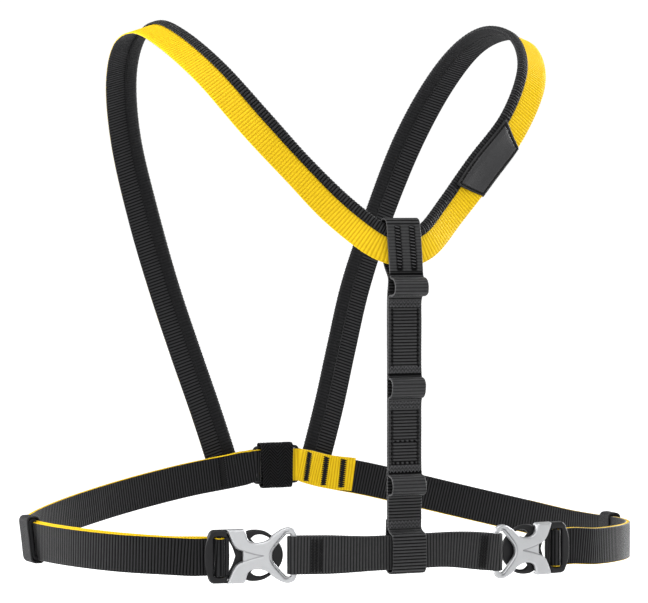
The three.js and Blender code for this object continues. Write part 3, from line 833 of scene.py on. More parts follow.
class Part:
    """Collects the faces of one piece and builds its mesh."""

    SHARP = math.radians(58.0)

    def __init__(self) -> None:
        """Starts with no faces."""
        self.verts: list[Array] = []
        self.faces: list[Face] = []
        self.slots: list[int] = []
        self.traits: dict[str, list[Array]] = {"crest": [], "along": [], "across": []}
        self.count = 0

    def add(
        self, verts: Array, faces: list[Face], slots: Sequence[int], traits: dict[str, Array] | None = None
    ) -> None:
        """Adds points and faces.

        Args:
            verts: the points, in millimetres.
            faces: each face's points, counted from this call's first.
            slots: each face's finish.
            traits: numbers for each point that the finishes read.
        """
        self.faces.extend(tuple(k + self.count for k in face) for face in faces)
        self.slots.extend(slots)
        self.verts.append(verts)
        for name, values in self.traits.items():
            values.append((traits or {}).get(name, np.ones(len(verts))))
        self.count += len(verts)

    def sweep(
        self,
        strip: Strip,
        section: Section,
        weave: Weave,
        relief: Relief | None = None,
        stretch: Array | None = None,
    ) -> None:
        """Adds a woven band.

        Args:
            strip: the frames that it follows.
            section: its outline.
            weave: its weave.
            relief: extra height of the outer face by place across, and how much of its ribs is kept.
            stretch: its width at each row, as a share of the section's.
        """
        rows, size = len(strip.origin), len(section.points)
        heights = weave.heights(rows, section.points[:, 0])
        heights = 1.0 - (1.0 - heights) * section.woven
        pressed = np.zeros_like(heights)
        if relief is not None:
            pressed, kept = relief(section.points[None, :, 0])
            outer = section.points[None, :, 1] > 0.0
            pressed = np.where(outer, pressed, 0.0)
            heights = np.where(outer, 1.0 - (1.0 - heights) * kept, heights)
        lift = (heights - 1.0) * weave.height + pressed
        # Sunk places are also painted darker through the crest trait: painted shade in seams, creases, tacks
        # and pits.
        heights = heights * np.clip(1.0 + 1.5 * pressed, 0.05, 1.0)
        flat = section.points[None] + section.outward()[None] * lift[..., None]
        if stretch is not None:
            flat = flat * np.stack([stretch, np.ones(rows)], axis=1)[:, None, :]
        verts = (
            strip.origin[:, None]
            + strip.across[:, None] * flat[..., :1]
            + strip.normal[:, None] * flat[..., 1:]
        ).reshape(-1, 3)
        faces = wall_faces(rows, size, strip.closed)
        slots = np.tile(section.slots, len(faces) // size).tolist()
        if not strip.closed:
            faces += end_faces(rows, size)
            slots += [0, 0]
        traits = {
            "crest": heights.ravel(),
            "along": np.repeat(strip.length, size),
            "across": np.tile(section.points[:, 0], rows),
        }
        self.add(verts, faces, slots, traits)

    def build(
        self, name: str, finishes: Sequence[Finish], slot: Slot, nodes: Sequence[str] = ()
    ) -> bpy.types.Object:
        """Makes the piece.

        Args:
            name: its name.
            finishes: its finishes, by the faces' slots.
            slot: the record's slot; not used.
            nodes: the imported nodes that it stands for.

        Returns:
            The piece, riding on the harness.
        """
        mesh = bpy.data.meshes.new(name)
        mesh.from_pydata((np.vstack(self.verts) * MM).tolist(), [], self.faces)
        for trait, values in self.traits.items():
            held = mesh.attributes.new(trait, "FLOAT", "POINT")
            held.data.foreach_set("value", np.concatenate(values).astype(np.float32))
        mesh.polygons.foreach_set("material_index", np.array(self.slots, np.int32))
        shell = bmesh.new()
        shell.from_mesh(mesh)
        bmesh.ops.recalc_face_normals(shell, faces=shell.faces)
        shell.to_mesh(mesh)
        shell.free()
        mesh.polygons.foreach_set("use_smooth", np.ones(len(mesh.polygons), bool))
        mesh.set_sharp_from_angle(angle=self.SHARP)
        for finish in finishes:
            mesh.materials.append(finish.material())
        piece = bpy.data.objects.new(name, mesh)
        bpy.context.scene.collection.objects.link(piece)
        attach(piece, BODY)
        if nodes:
            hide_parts(*nodes)
        LOG.info("%s: %d faces", name, len(self.faces))
        return piece


class Stitching:
    """Collects sewn stitches and builds them as one mesh of short round threads."""

    SIDES = 6
    # Rings of a thread: share of its length, then size and height as shares of its radius
    STATIONS = ((0.0, 0.45, -0.7), (0.14, 0.9, 0.25), (0.5, 1.0, 0.5), (0.86, 0.9, 0.25), (1.0, 0.45, -0.7))

    def __init__(self, radius: float) -> None:
        """Starts with no stitches.

        Args:
            radius: the thread's radius.
        """
        self.radius = radius
        self.starts: list[Array] = []
        self.ends: list[Array] = []
        self.normals: list[Array] = []

    def add(self, start: Array, end: Array, normal: Array) -> None:
        """Adds one stitch.

        Args:
            start: one end, on the surface.
            end: its other end.
            normal: the surface's normal.
        """
        self.starts.append(start)
        self.ends.append(end)
        self.normals.append(normal)

    def run(self, line: Array, normals: Array, stitch: float, gap: float) -> None:
        """Adds a row of stitches along a line.

        Args:
            line: closely spaced places on the surface.
            normals: the surface's normal at each.
            stitch: length of a stitch.
            gap: space between two stitches.
        """
        measure = lengths_along(line)
        for start in np.arange(gap, measure[-1] - stitch, stitch + gap):
            span = start, start + stitch
            ends = np.stack([np.interp(span, measure, line[:, k]) for k in range(3)], axis=1)
            normal = np.array([np.interp(start, measure, normals[:, k]) for k in range(3)])
            self.add(ends[0], ends[1], unit(normal))

    def zigzag(
        self, start: Array, end: Array, side: Array, normal: Array, width: float, pitch: float
    ) -> None:
        """Adds a zigzag row.

        Args:
            start: one end of the row.
            end: its other end.
            side: direction across the row.
            normal: the surface's normal.
            width: width of the row.
            pitch: how far it moves on with each stitch.
        """
        count = max(2, round(float(np.linalg.norm(end - start)) / pitch))
        line = start + (end - start) * np.linspace(0.0, 1.0, count + 1)[:, None]
        line = line + side * (0.5 * width * np.where(np.arange(count + 1) % 2, 1.0, -1.0))[:, None]
        for a, b in zip(line[:-1], line[1:]):
            self.add(a, b, normal)

    def build(self, name: str, slot: Slot, finish: Finish = THREAD) -> bpy.types.Object:
        """Makes the stitches as one piece.

        Args:
            name: the piece's name.
            slot: the record's slot; not used.
            finish: the thread's finish.

        Returns:
            The piece.
        """
        starts, ends, normals = (np.array(group) for group in (self.starts, self.ends, self.normals))
        along = unit(ends - starts)
        side = unit(np.cross(normals, along))
        out = np.cross(along, side)
        angle = circle(self.SIDES)
        rings = []
        for share, size, lift in self.STATIONS:
            middle = starts + share * (ends - starts) + out * (lift * self.radius)
            spoke = np.cos(angle)[None, :, None] * side[:, None] + np.sin(angle)[None, :, None] * out[:, None]
            rings.append(middle[:, None] + self.radius * size * spoke)
        verts = np.stack(rings, axis=1)
        thread = wall_faces(len(rings), self.SIDES) + end_faces(len(rings), self.SIDES)
        size = len(rings) * self.SIDES
        firsts = range(0, len(starts) * size, size)
        faces = [tuple(first + k for k in face) for first in firsts for face in thread]
        part = Part()
        part.add(verts.reshape(-1, 3), faces, [0] * len(faces))
        return part.build(name, [finish], slot)


@dataclass(frozen=True)
class ShoulderStraps:
    """One length of two-tone webbing over both shoulders, with a bound neck edge and a tab on one side."""

    width: float = 24.0
    tucked: float = 6.0
    tilt: float = 0.0075
    bound: float = 1.35
    outer_flap: float = 7.5
    inner_flap: float = 10.0
    end_tacks: Pair = (7.0, 17.0)
    tack_reach: Pair = (9.6, 22.4)
    patch_low: float = 3.38
    patch_high: float = 4.95
    patch_slant_low: float = 0.27
    patch_slant_high: float = -0.2
    patch_long: float = 52.0
    patch_rows: int = 64
    patch_points: int = 70
    patch_margin: float = 3.0
    patch_thick: float = 0.9
    patch_return: float = 7.0
    patch_seam: float = 2.0
    patch_turn: float = 1.6
    patch_sunk: float = 0.45
    patch_hem: float = 0.4
    patch_crown: float = 0.2
    weave: Weave = Weave(2.28, 0.3)
    tape_weave: Weave = Weave(2.25, 0.42, uneven=0.25)

    # Strap edges from the middle of the front V over a shoulder to the rear: neck x, y, z, arm x, y, z
    ROWS = (
        (0, -136, -138, 0, -138, -163),
        (6, -136, -137, 13, -137.6, -161),
        (13, -134.8, -134, 26, -133.4, -154),
        (33, -123.5, -116, 50, -121, -133),
        (57, -113, -90, 75, -116, -107),
        (84, -109, -61, 102, -108, -76),
        (107, -87, -28, 127, -89, -41),
        (120, -45, -4, 143, -44, -13),
        (121, 0, 4, 145, 0, -4),
        (119, 43, -5, 143, 45, -11),
        (112, 81, -29, 137, 81, -36),
        (100, 111, -71, 123, 110, -79),
        (82, 124, -128, 104, 126, -136),
        (65.5, 129, -180, 87, 129, -187),
        (51.5, 123, -226, 73, 123, -233),
        (38.5, 116, -268, 60, 115.5, -276),
        (27.5, 112.7, -304, 49, 112.5, -311),
        (20, 112.5, -329, 41.5, 112.5, -335),
    )

    def edges(self) -> tuple[Curve, Curve]:
        """Edges of the strap, from its left end to its right.

        Returns:
            The neck edge and the arm edge.
        """
        table = np.array(self.ROWS, float)
        flip = np.array((-1.0, 1.0, 1.0))
        edges = [np.vstack([(edge[1:] * flip)[::-1], edge]) for edge in (table[:, :3], table[:, 3:])]
        for edge in edges:
            edge[:, 2] += self.tilt * edge[:, 0] * smoothstep(-160.0, -10.0, edge[:, 2])
        return Curve(edges[0]), Curve(edges[1])

    def frames(self, shares: Array) -> tuple[Array, Array, Array]:
        """Frames of the strap, with the origin on its neck edge.

        Args:
            shares: how far along each one is.

        Returns:
            Origins, directions across towards the arm, and normals out of the body.
        """
        neck, arm = self.edges()
        step = 1e-3

        def middle(at: Array) -> Array:
            """Middle line of the strap."""
            return 0.5 * (neck.at(at) + arm.at(at))

        along = unit(middle(np.minimum(1.0, shares + step)) - middle(np.maximum(0.0, shares - step)))
        across = unit(arm.at(shares) - neck.at(shares))
        return middle(shares) - 0.5 * self.width * across, across, unit(np.cross(across, along))

    def strip(self, weave: Weave) -> Strip:
        """Frames that are evenly spaced along the strap's middle.

        Args:
            weave: the weave, which sets the rows.

        Returns:
            The frames.
        """
        neck, arm = self.edges()
        centre = Curve(0.5 * (neck.points + arm.points))
        shares, length = centre.even(weave.pitch / weave.rows, weave.rows)
        kept = (length > self.tucked) & (length < length[-1] - self.tucked)
        return Strip(*self.frames(shares[kept]), length[kept])

    def binding_section(self) -> Section:
        """Outline of the folded tape.

        Returns:
            A soft U with a rolled edge.
        """
        hem = 0.8
        rolled = [
            (self.outer_flap, 1.2), (self.outer_flap, 1.75), (self.outer_flap - hem, 2.25),
            (5.2, 2.6), (3.4, 2.68), (1.9, 2.4), (0.75, 1.7), (0.15, 0.8), (0.0, 0.0),
            (0.15, -0.8), (0.75, -1.7), (1.9, -2.4), (3.6, -2.68), (6.6, -2.66),
            (self.inner_flap - hem, -2.3), (self.inner_flap, -1.8), (self.inner_flap, -1.2),
        ]
        folded = [(5.0, -1.12), (1.05, -1.1), (1.05, 1.1), (5.0, 1.12)]
        edge = rolled.index((0.0, 0.0)) + 1
        woven = np.array([1.0] * (edge + 1) + [0.5] * (len(rolled) - edge - 1) + [0.0] * len(folded))
        points = np.array(rolled + folded)
        return Section(points, woven, np.array([0] * edge + [1] * (len(points) - edge)))

    def beside_patch(self, bound: Strip) -> Relief:
        """Depth of the tape where the tab's stitches pull it flat.

        Args:
            bound: the tape's frames.

        Returns:
            A relief by place across.
        """
        places, _ = self.patch_places(np.array((0.0, 0.0)), np.array((0.0, 0.0)), np.array((0.0, 1.0)))
        ends = [bound.length[np.argmin(np.linalg.norm(bound.origin - place, axis=1))] for place in places]
        rise, fall = (ends[0] - 2.0, ends[0] + 1.0), (ends[1] - 1.0, ends[1] + 2.0)
        pulled = between(rise, fall, bound.length[:, None])

        def relief(across: Array) -> tuple[Array, Array]:
            """A flattened stretch with weaker ribs, painted darker as shade."""
            return -0.22 * pulled * np.ones_like(across), 1.0 - 0.35 * pulled

        return relief

    def build_straps(self) -> None:
        """Makes the webbing, the binding and the binding's stitching."""
        strip = self.strip(self.weave)
        webbing = Part()
        webbing.sweep(strip, Section.webbing(self.bound, self.width, WEB_THICK, rim=0.0), self.weave)
        piece = webbing.build("strap_webbing", [YELLOW, STRAP_BACK], Slot.TWO_TONE, ["shoulder_webbing"])

        bound = self.strip(self.tape_weave)
        tape = Part()
        tape.sweep(bound, self.binding_section(), self.tape_weave, self.beside_patch(bound))
        piece = tape.build("strap_binding", [TAPE, TAPE_BACK], Slot.BINDING, ["edge_binding"])

        seam = Stitching(0.24)
        for across, out in ((self.outer_flap - 1.2, 2.3), (self.inner_flap - 1.3, -2.45)):
            line = bound.origin + across * bound.across + out * bound.normal
            seam.run(line, math.copysign(1.0, out) * bound.normal, stitch=2.6, gap=1.0)
        seam.build("binding_stitches", Slot.BINDING)

        tacks = Stitching(0.36)
        last = float(strip.length[-1])
        for place in self.end_tacks:
            for measure in (float(strip.length[0]) + place, last - place):
                row = strip.row_at(measure)
                normal, across = strip.normal[row], strip.across[row]
                face = strip.origin[row] + (WEB_THICK / 2.0 + 0.05) * normal
                low, high = (face + reach * across for reach in self.tack_reach)
                tacks.zigzag(low, high, np.cross(normal, across), normal, width=2.8, pitch=0.6)
        tacks.build("strap_tacks", Slot.TWO_TONE)

    def patch_row(self, across: Array, share: Array) -> Array:
        """Place along the strap, from 0 to 1, of a place on the tab.

        Args:
            across: how far across the strap it is.
            share: how far up the tab it is, from 0 to 1.

        Returns:
            The strap's share there.
        """
        lean = (across - self.patch_margin) / (self.width + LAYER_GAP - self.patch_margin)
        low = self.patch_low + self.patch_slant_low * lean
        high = self.patch_high + self.patch_slant_high * lean
        return 0.5 + (low + (high - low) * share) / (2.0 * (len(self.ROWS) - 1))

    def patch_outline(self) -> tuple[Array, Array]:
        """Outline of the tab across the strap.

        Returns:
            Its under side and its upper side, as matching points across and out.
        """
        inside = WEB_THICK / 2.0 + LAYER_GAP
        flap = inside + 1.85
        edge = self.width + LAYER_GAP
        near = edge - 0.25
        turn = [(edge - 0.9, inside), (near, 0.75 * inside), (edge, 0.0), (near, -0.75 * inside)]
        under = [(self.patch_margin, flap), (5.5, flap + 0.02), (8.0, flap - 0.2), (11.0, flap - 0.75)]
        under += [(14.0, inside + 0.6), (17.0, inside + 0.22), (20.5, inside + 0.03)] + turn
        under += [(edge - 0.9, -inside), (edge - 3.5, -inside), (edge - self.patch_return, -inside)]
        path = np.array(under)
        run = unit(np.gradient(path, axis=0))
        return path, path + self.patch_thick * np.stack([-run[:, 1], run[:, 0]], axis=1)

    def patch_places(self, across: Array, out: Array, shares: Array) -> tuple[Array, Array]:
        """Places on the tab and the strap's normals there, for matching arrays of across, out and share."""
        origin, side, normal = self.frames(self.patch_row(across, shares))
        return origin + across[..., None] * side + out[..., None] * normal, normal

    def build_patch(self) -> None:
        """Makes the tab with its sewn border."""
        under, over = self.patch_outline()
        rows, long = self.patch_rows, self.patch_long
        share = np.linspace(0.0, 1.0, rows + 1)
        fine = np.linspace(0.0, 1.0, self.patch_points)
        upper = Curve(np.c_[over, np.zeros(len(over))]).at(fine)[:, :2]
        lower = Curve(np.c_[under, np.zeros(len(under))]).at(fine)[:, :2]
        travel = lengths_along(upper)
        visible = travel[np.argmax(upper[:, 0])]
        from_end = np.minimum(share, 1.0 - share)[:, None] * long
        flat_side = np.minimum(travel, np.maximum(visible - self.patch_turn - travel, 0.0))
        from_side = np.where(travel < visible, flat_side, travel - visible)[None, :]
        inset = np.minimum(from_end, from_side)
        outer = upper[None, :, 1] > -1.0
        sewn = np.where(outer, plateau(inset - self.patch_seam, 0.7), 0.0)
        hem = plateau(inset - 0.1, 0.45, 2)
        crown = np.where(outer, self.patch_crown * smoothstep(2.2, 6.0, inset), 0.0)
        relief = -self.patch_sunk * sewn - self.patch_hem * hem + crown
        # Painted shade: raised darkens the sunk seam and the hem, the margin by the edge, and the parts
        # turned under.
        panel = np.where(outer, 0.6 + 0.4 * smoothstep(1.8, 3.2, inset), 0.5)
        raised = (1.0 - 0.95 * sewn) * (1.0 - 0.5 * hem) * panel
        run = unit(np.gradient(upper, axis=0))
        out_across, out_up = -run[:, 1], run[:, 0]
        across = upper[None, :, 0] + relief * out_across
        out = upper[None, :, 1] + relief * out_up
        shares = np.repeat(share[:, None], len(fine), axis=1)
        top, _ = self.patch_places(across, out, shares)
        low_across = np.repeat(lower[None, ::-1, 0], rows + 1, axis=0)
        low_out = np.repeat(lower[None, ::-1, 1], rows + 1, axis=0)
        bottom, _ = self.patch_places(low_across, low_out, shares)
        rings = np.concatenate([top, bottom], axis=1)
        size = rings.shape[1]
        faces = wall_faces(rows + 1, size)
        for first in (0, rows * size):
            last = first + size - 1
            faces += [(first + i, first + i + 1, last - 1 - i, last - i) for i in range(len(fine) - 1)]
        part = Part()
        # The tab's under side takes a low crest: painted shade.
        crest = np.concatenate([raised, np.full(raised.shape, 0.4)], axis=1)
        part.add(rings.reshape(-1, 3), faces, [0] * len(faces), {"crest": crest.ravel()})
        piece = part.build("strap_patch", [SMOOTH_BLACK], Slot.PATCH, ["side_patch"])

        seam = Stitching(0.22)
        edge = self.patch_seam / long
        far_seam = visible - self.patch_turn - self.patch_seam
        near, far = np.interp((self.patch_seam, far_seam), travel, np.arange(len(travel)))
        ends = np.linspace(near, far, 40)
        sides = np.linspace(edge, 1.0 - edge, 60)
        index = np.arange(len(upper))

        def stitched(at: Array, up: Array) -> None:
            """Sews a line on the tab.

            Args:
                at: its places' point numbers across.
                up: their shares up the tab.
            """
            across_at = np.interp(at, index, upper[:, 0])
            out_at = np.interp(at, index, upper[:, 1]) - 0.18
            seam.run(*self.patch_places(across_at, out_at, up), stitch=1.9, gap=0.7)

        stitched(ends, np.full(len(ends), edge))
        stitched(ends, np.full(len(ends), 1.0 - edge))
        stitched(np.full(len(sides), near), sides)
        seam.build("patch_stitches", Slot.PATCH)


@dataclass(frozen=True)
class GearLoop:
    """A bulge of the riser's front layer: its ends, how far it stands forward, and where it does so most."""

    top: float
    bottom: float
    reach: float
    crest: float

    def arc(self, base: float, half: float) -> list[Pair]:
        """Middle line of the bulge, from its top to its bottom, as y, z.

        Args:
            base: y of the front layer's middle.
            half: half the webbing's thickness.

        Returns:
            The places.
        """
        top, bottom = self.top - half, self.bottom + half
        out = base - self.reach
        crest = self.top + (self.bottom - self.top) * self.crest
        upper = [(base, top), (out, top), (out, crest)]
        lower = [(out, crest), (out, bottom), (base, bottom)]
        places = []
        for a, b, c in (upper, lower):
            for share in np.linspace(0.08, 0.92, 7):
                rest = 1 - share
                x, y = (rest ** 2 * a[k] + 2 * share * rest * b[k] + share ** 2 * c[k] for k in (0, 1))
                places.append((x, y))
        return places


@dataclass(frozen=True)
class Riser:
    """Black webbing folded over the V, sewn into gear loops and round the chest strap.

    It is pulled askew in steps, given by how far and between which heights.
    """

    x: float = -1.7
    width: float = 24.2
    thick: float = 1.5
    front: float = -143.2
    fold_top: float = -130.5
    v_front: float = -140.6
    v_back: float = -132.0
    v_middle: float = -146.0
    v_bottom: float = -165.5
    belt_front: float = -149.7
    belt_back: float = -139.4
    belt_top: float = -336.8
    belt_middle: float = -350.0
    belt_bottom: float = -363.0
    weave: Weave = Weave(2.1, 0.34)
    channels: Pair = (-4.5, 5.7)
    channel_low: Pair = (-166.0, -164.5)
    channel_high: Pair = (-136.5, -134.5)
    channel_sewn: Pair = (-136.0, -162.5)
    askew: tuple[Place, ...] = ((1.1, -182.0, -166.0), (-1.9, -162.0, -131.0))
    column: float = 9.0
    dot_pitch: float = 3.4
    columns: tuple[Pair, ...] = ((-229.5, -190.0), (-292.5, -256.0))
    bands: tuple[float, ...] = (-186.6, -230.2, -253.0, -295.6, -332.2)
    creases: tuple[float, ...] = (-167.4, -233.6, -298.0)
    dashes: Pair = (-277.5, -291.8)
    loops: tuple[GearLoop, ...] = (
        GearLoop(-169.0, -182.2, 11.0, 0.7),
        GearLoop(-235.0, -249.4, 7.2, 0.4),
        GearLoop(-299.2, -313.5, 8.2, 0.6),
    )

    def front_line(self) -> Curve:
        """Middle line of the webbing.

        Returns:
            A line up behind the V, over it, down the loops and round the chest strap.
        """
        half = self.thick / 2.0
        base = self.front + half
        v_out, v_in = self.v_front - half, self.v_back + half
        top = self.fold_top - half
        behind = self.front + 1.5 * self.thick + 0.1
        line = [(behind, z) for z in np.linspace(self.belt_top + 2.5, self.v_bottom - 16.0, 4)]
        bottom = self.v_bottom
        line += [(behind, bottom - 8.5), (behind + 0.9, bottom - 4.6), (v_in - 1.2, bottom + 4.2)]
        line += [(v_in, bottom + 8.5), (v_in, self.v_middle), (v_in, top - 4.5)]
        line += [(v_in - 1.1, top - 1.2), (v_in - 3.6, top), (v_out + 3.2, top), (v_out + 1.0, top - 1.2)]
        line += [(v_out, top - 4.5), (v_out, self.v_middle), (v_out, bottom + 7.0), (base, bottom - 1.4)]
        for loop in self.loops:
            line += loop.arc(base, half)
            line += [(base, loop.bottom - 3.0), (base, loop.bottom - 16.0)]
        belt_out, belt_in = self.belt_front - half, self.belt_back + half
        high, low = self.belt_top, self.belt_bottom - half
        line += [(base, high + 2.0), (base - 2.2, high - 0.1), (belt_out + 0.9, high - 2.1)]
        line += [(belt_out, high - 5.5), (belt_out, self.belt_middle), (belt_out, low + 4.0)]
        line += [(belt_out + 1.2, low + 1.1), (belt_out + 4.0, low)]
        line += [(belt_in - 4.0, low), (belt_in - 1.2, low + 1.1), (belt_in, low + 4.0)]
        line += [(belt_in, self.belt_middle), (belt_in, high - 2.0), (belt_in - 0.5, high + 8.0)]
        return Curve([(self.x + self.lean(z), y, z) for y, z in line])

    def lean(self, z: float) -> float:
        """How far the riser stands to the side at a height, where the V pulls it askew."""
        level = np.array(z)
        return float(sum(amount * smoothstep(low, high, level) for amount, low, high in self.askew))

    def dots(self, place: Array) -> Array:
        """Evenly spaced stitch holes along a row, from 0 to 1."""
        return (0.5 + 0.5 * np.cos(2.0 * math.pi * place / self.dot_pitch)) ** 2

    def pressed(self, strip: Strip) -> Relief:
        """Depth of the sewn channels, rows and columns in the front layer.

        Args:
            strip: the front layer's frames.

        Returns:
            A relief by place across.
        """
        height = strip.origin[:, 2][:, None]
        facing = (strip.normal[:, 1] < FRONT_FACING) & (strip.origin[:, 1] < self.v_front)
        forward = facing[:, None] * 1.0
        in_v = between(self.channel_low, self.channel_high, height) * forward
        in_loop = (strip.origin[:, 1] < self.front - 0.6)[:, None] * (height > self.belt_top + 10.0)
        soft = 1.0
        sewn = forward * sum(
            between((low - soft, low + soft), (high - soft, high + soft), height)
            for low, high in self.columns
        )
        bands = sum(plateau(height - row, 2.7, 6) for row in self.bands) * forward
        beats = 0.35 + 0.65 * self.dots(height)

        def relief(across: Array) -> tuple[Array, Array]:
            """Channels in the V's seams, columns by the edges, and a flat band at each zigzag row.

            Args:
                across: places across the webbing.

            Returns:
                Height, and how much of the ribs is kept.
            """
            sunk = -0.12 * bands * np.ones_like(across)
            for middle in self.channels:
                sunk = sunk - 0.6 * in_v * plateau(across - middle, 2.3)
            for column in (-self.column, self.column):
                sunk = sunk - 0.6 * sewn * beats * plateau(across - column, 0.75)
            dotted = self.dots(across) * (np.abs(across) < self.column)
            for row in self.dashes:
                sunk = sunk - forward * plateau(height - row, 0.8) * 0.9 * dotted
            # Each crease is sunk, and the sweep paints it dark through the crest trait: painted shade above a
            # loop.
            for row in self.creases:
                sunk = sunk - 0.6 * forward * plateau(height - row, 0.9)
            edge = smoothstep(self.column - 0.4, self.column + 0.4, np.abs(across))
            sunk = sunk - 0.14 * sewn * edge
            kept = (1.0 - 0.75 * bands) * (1.0 - 0.6 * sewn * edge)
            return sunk, kept * (1.0 - 0.5 * in_v) * (1.0 - 0.4 * in_loop)

        return relief

    def build(self) -> None:
        """Makes the two layers and all their seams."""
        strip = wrapped_strip(self.front_line(), self.weave, RIGHT)
        section = Section.webbing(-self.width / 2.0, self.width / 2.0, self.thick, count=33)
        part = Part()
        part.sweep(strip, section, self.weave, self.pressed(strip))
        piece = part.build("riser_webbing", [DEEP_BLACK, STRAP_BACK], Slot.WEBBING, ["front_riser"])
        self.build_seams()

    def build_seams(self) -> None:
        """Sews the channels, zigzag bands and edge columns."""
        # pale sews the channels and zigzag bands with the lighter thread, a painted highlight on black
        # stitches.
        seam, pale = Stitching(0.32), Stitching(0.34)
        out = np.array((0.0, -1.0, 0.0))
        v_face = self.v_front - self.thick + 0.6

        def place(across: float, y: float, z: float) -> Array:
            """A place on the riser."""
            return np.array((self.x + self.lean(z) + across, y, z))

        half, slant = 1.9, 0.7
        for middle in self.channels:
            for z in np.linspace(*self.channel_sewn, 14):
                pale.add(place(middle - half, v_face, z), place(middle + half, v_face, z - slant), out)
        face = self.front + 0.12
        edge = self.width / 2.0 - 1.2
        for row in self.bands:
            for shift in (-1.3, 1.3):
                left, right = (place(across, face, row + shift) for across in (-edge, edge))
                pale.zigzag(left, right, UP, out, width=2.2, pitch=1.3)
        for column in (-self.column, self.column):
            for low, high in self.columns:
                ends = np.array([place(column, face + 0.3, z) for z in np.linspace(high, low, 30)])
                seam.run(ends, np.repeat(out[None], len(ends), axis=0), stitch=2.3, gap=1.1)
        seam.build("riser_stitches", Slot.WEBBING)
        pale.build("riser_zigzags", Slot.WEBBING, HIGHLIT_THREAD)


@dataclass(frozen=True)
class BuckleFrame:
    """Where a buckle stands: s runs out from the middle of its X, t up and n forward."""

    side: Side
    x: float
    y: float
    z: float
    angle: float = math.radians(9.5)

    def world(self, s: Array, t: Array, n: Array) -> Array:
        """Places in the harness.

        Args:
            s: how far out from the middle of the X.
            t: how far up.
            n: how far forward.

        Returns:
            The places.
        """
        sign = self.side.value
        along = np.array((sign * math.cos(self.angle), math.sin(self.angle), 0.0))
        out = np.array((sign * math.sin(self.angle), -math.cos(self.angle), 0.0))
        s, t, n = np.broadcast_arrays(*(np.asarray(value, float) for value in (s, t, n)))
        centre = np.array((self.x, self.y, self.z))
        return centre + s[..., None] * along + t[..., None] * UP + n[..., None] * out


BUCKLE_LEFT = BuckleFrame(Side.LEFT, -101.7, -133.2, -349.4)
BUCKLE_RIGHT = BuckleFrame(Side.RIGHT, 89.0, -135.0, -354.0, math.radians(7.5))
RING_BAR_S = -23.3
RING_BAR_WIDTH = 4.2
METAL_BACK = 0.3
METAL_THICK = 3.6
MIDDLE_BAR_S = 25.45
MIDDLE_BAR_RADIUS = 1.8
ROLL_HALF = 1.4


def turn_round(half_length: float, half_thick: float, start: float, end: float, count: int = 9) -> Array:
    """Middle line of webbing that turns round a bar, in the bar's own two directions.

    Args:
        half_length: half the bar's size along the first direction.
        half_thick: half its size along the second.
        start: the turn's first angle, in half turns.
        end: its last angle, in half turns.
        count: how many places.

    Returns:
        The places.
    """
    clear = TURN_GAP + WEB_THICK / 2.0
    angle = np.linspace(start, end, count) * math.pi
    return np.stack([(half_length + clear) * np.cos(angle), (half_thick + clear) * np.sin(angle)], axis=1)


@dataclass(frozen=True)
class ChestStrap:
    """Flattened tube of black webbing between the two buckles, a little narrower where the riser holds it."""

    x: float = -1.7
    y: float = -144.3
    z: float = -350.2
    narrow: float = 22.6
    spread: float = 2.5
    quarter: float = 32.0
    widens: Pair = (20.0, 58.0)
    tack_half: float = 11.5
    weave: Weave = Weave(2.1, 0.3)
    tacks: tuple[Pair, ...] = ((-65.0, 4.4), (54.5, 3.6))

    def line(self) -> Curve:
        """Endless middle line of the tube.

        Returns:
            A closed line: front layer, turn, back layer, turn.
        """
        level = METAL_BACK + METAL_THICK / 2.0
        turn = turn_round(RING_BAR_WIDTH / 2.0, METAL_THICK / 2.0, 0.5, -0.5)
        right = BUCKLE_RIGHT.world(RING_BAR_S + turn[:, 0], 0.0, level + turn[:, 1])
        left = BUCKLE_LEFT.world(RING_BAR_S + turn[:, 0], 0.0, level + turn[:, 1])[::-1]
        shifts = np.array((-self.quarter, 0.0, self.quarter))
        flat = np.stack([self.x + shifts, np.full(3, self.y), np.full(3, self.z)], axis=1)
        lift = np.array((0.0, self.spread, 0.0))
        return Curve(np.vstack([flat - lift, right, (flat + lift)[::-1], left]), closed=True)

    def pressed(self, strip: Strip) -> Relief:
        """Depth of the bar tacks in the front layer.

        Args:
            strip: the strap's frames.

        Returns:
            A relief by place across.
        """
        x = strip.origin[:, 0][:, None]
        facing = (strip.normal[:, 1] < FRONT_FACING)[:, None] * 1.0
        tacked = sum(plateau(x - middle, half, 6) for middle, half in self.tacks) * facing

        def relief(across: Array) -> tuple[Array, Array]:
            """A sunk block at each tack."""
            block = tacked * plateau(across, self.tack_half, 8)
            return -0.3 * block, 1.0 - 0.6 * block

        return relief

    def build(self) -> None:
        """Makes the tube and its bar tacks."""
        strip = level_strip(self.line(), self.weave)
        away = smoothstep(*self.widens, np.abs(strip.origin[:, 0] - self.x))
        stretch = (self.narrow + (WEB_WIDTH - self.narrow) * away) / WEB_WIDTH
        part = Part()
        section = Section.webbing(-WEB_WIDTH / 2.0, WEB_WIDTH / 2.0, WEB_THICK)
        part.sweep(strip, section, self.weave, self.pressed(strip), stretch)
        piece = part.build("chest_webbing", [TUBE_BLACK, STRAP_BACK], Slot.WEBBING, ["chest_strap"])

        seam = Stitching(0.34)
        facing = strip.normal[:, 1] < FRONT_FACING
        for middle, half in self.tacks:
            for across in np.linspace(middle - half + 1.5, middle + half - 1.5, 3):
                row = np.flatnonzero(facing)[np.argmin(np.abs(strip.origin[facing, 0] - across))]
                face = strip.origin[row] + (WEB_THICK / 2.0 - 0.12) * strip.normal[row]
                reach = 0.43 * WEB_WIDTH * strip.across[row]
                side = np.cross(strip.across[row], strip.normal[row])
                seam.zigzag(face - reach, face + reach, side, strip.normal[row], width=2.2, pitch=0.95)
        seam.build("chest_stitches", Slot.WEBBING)


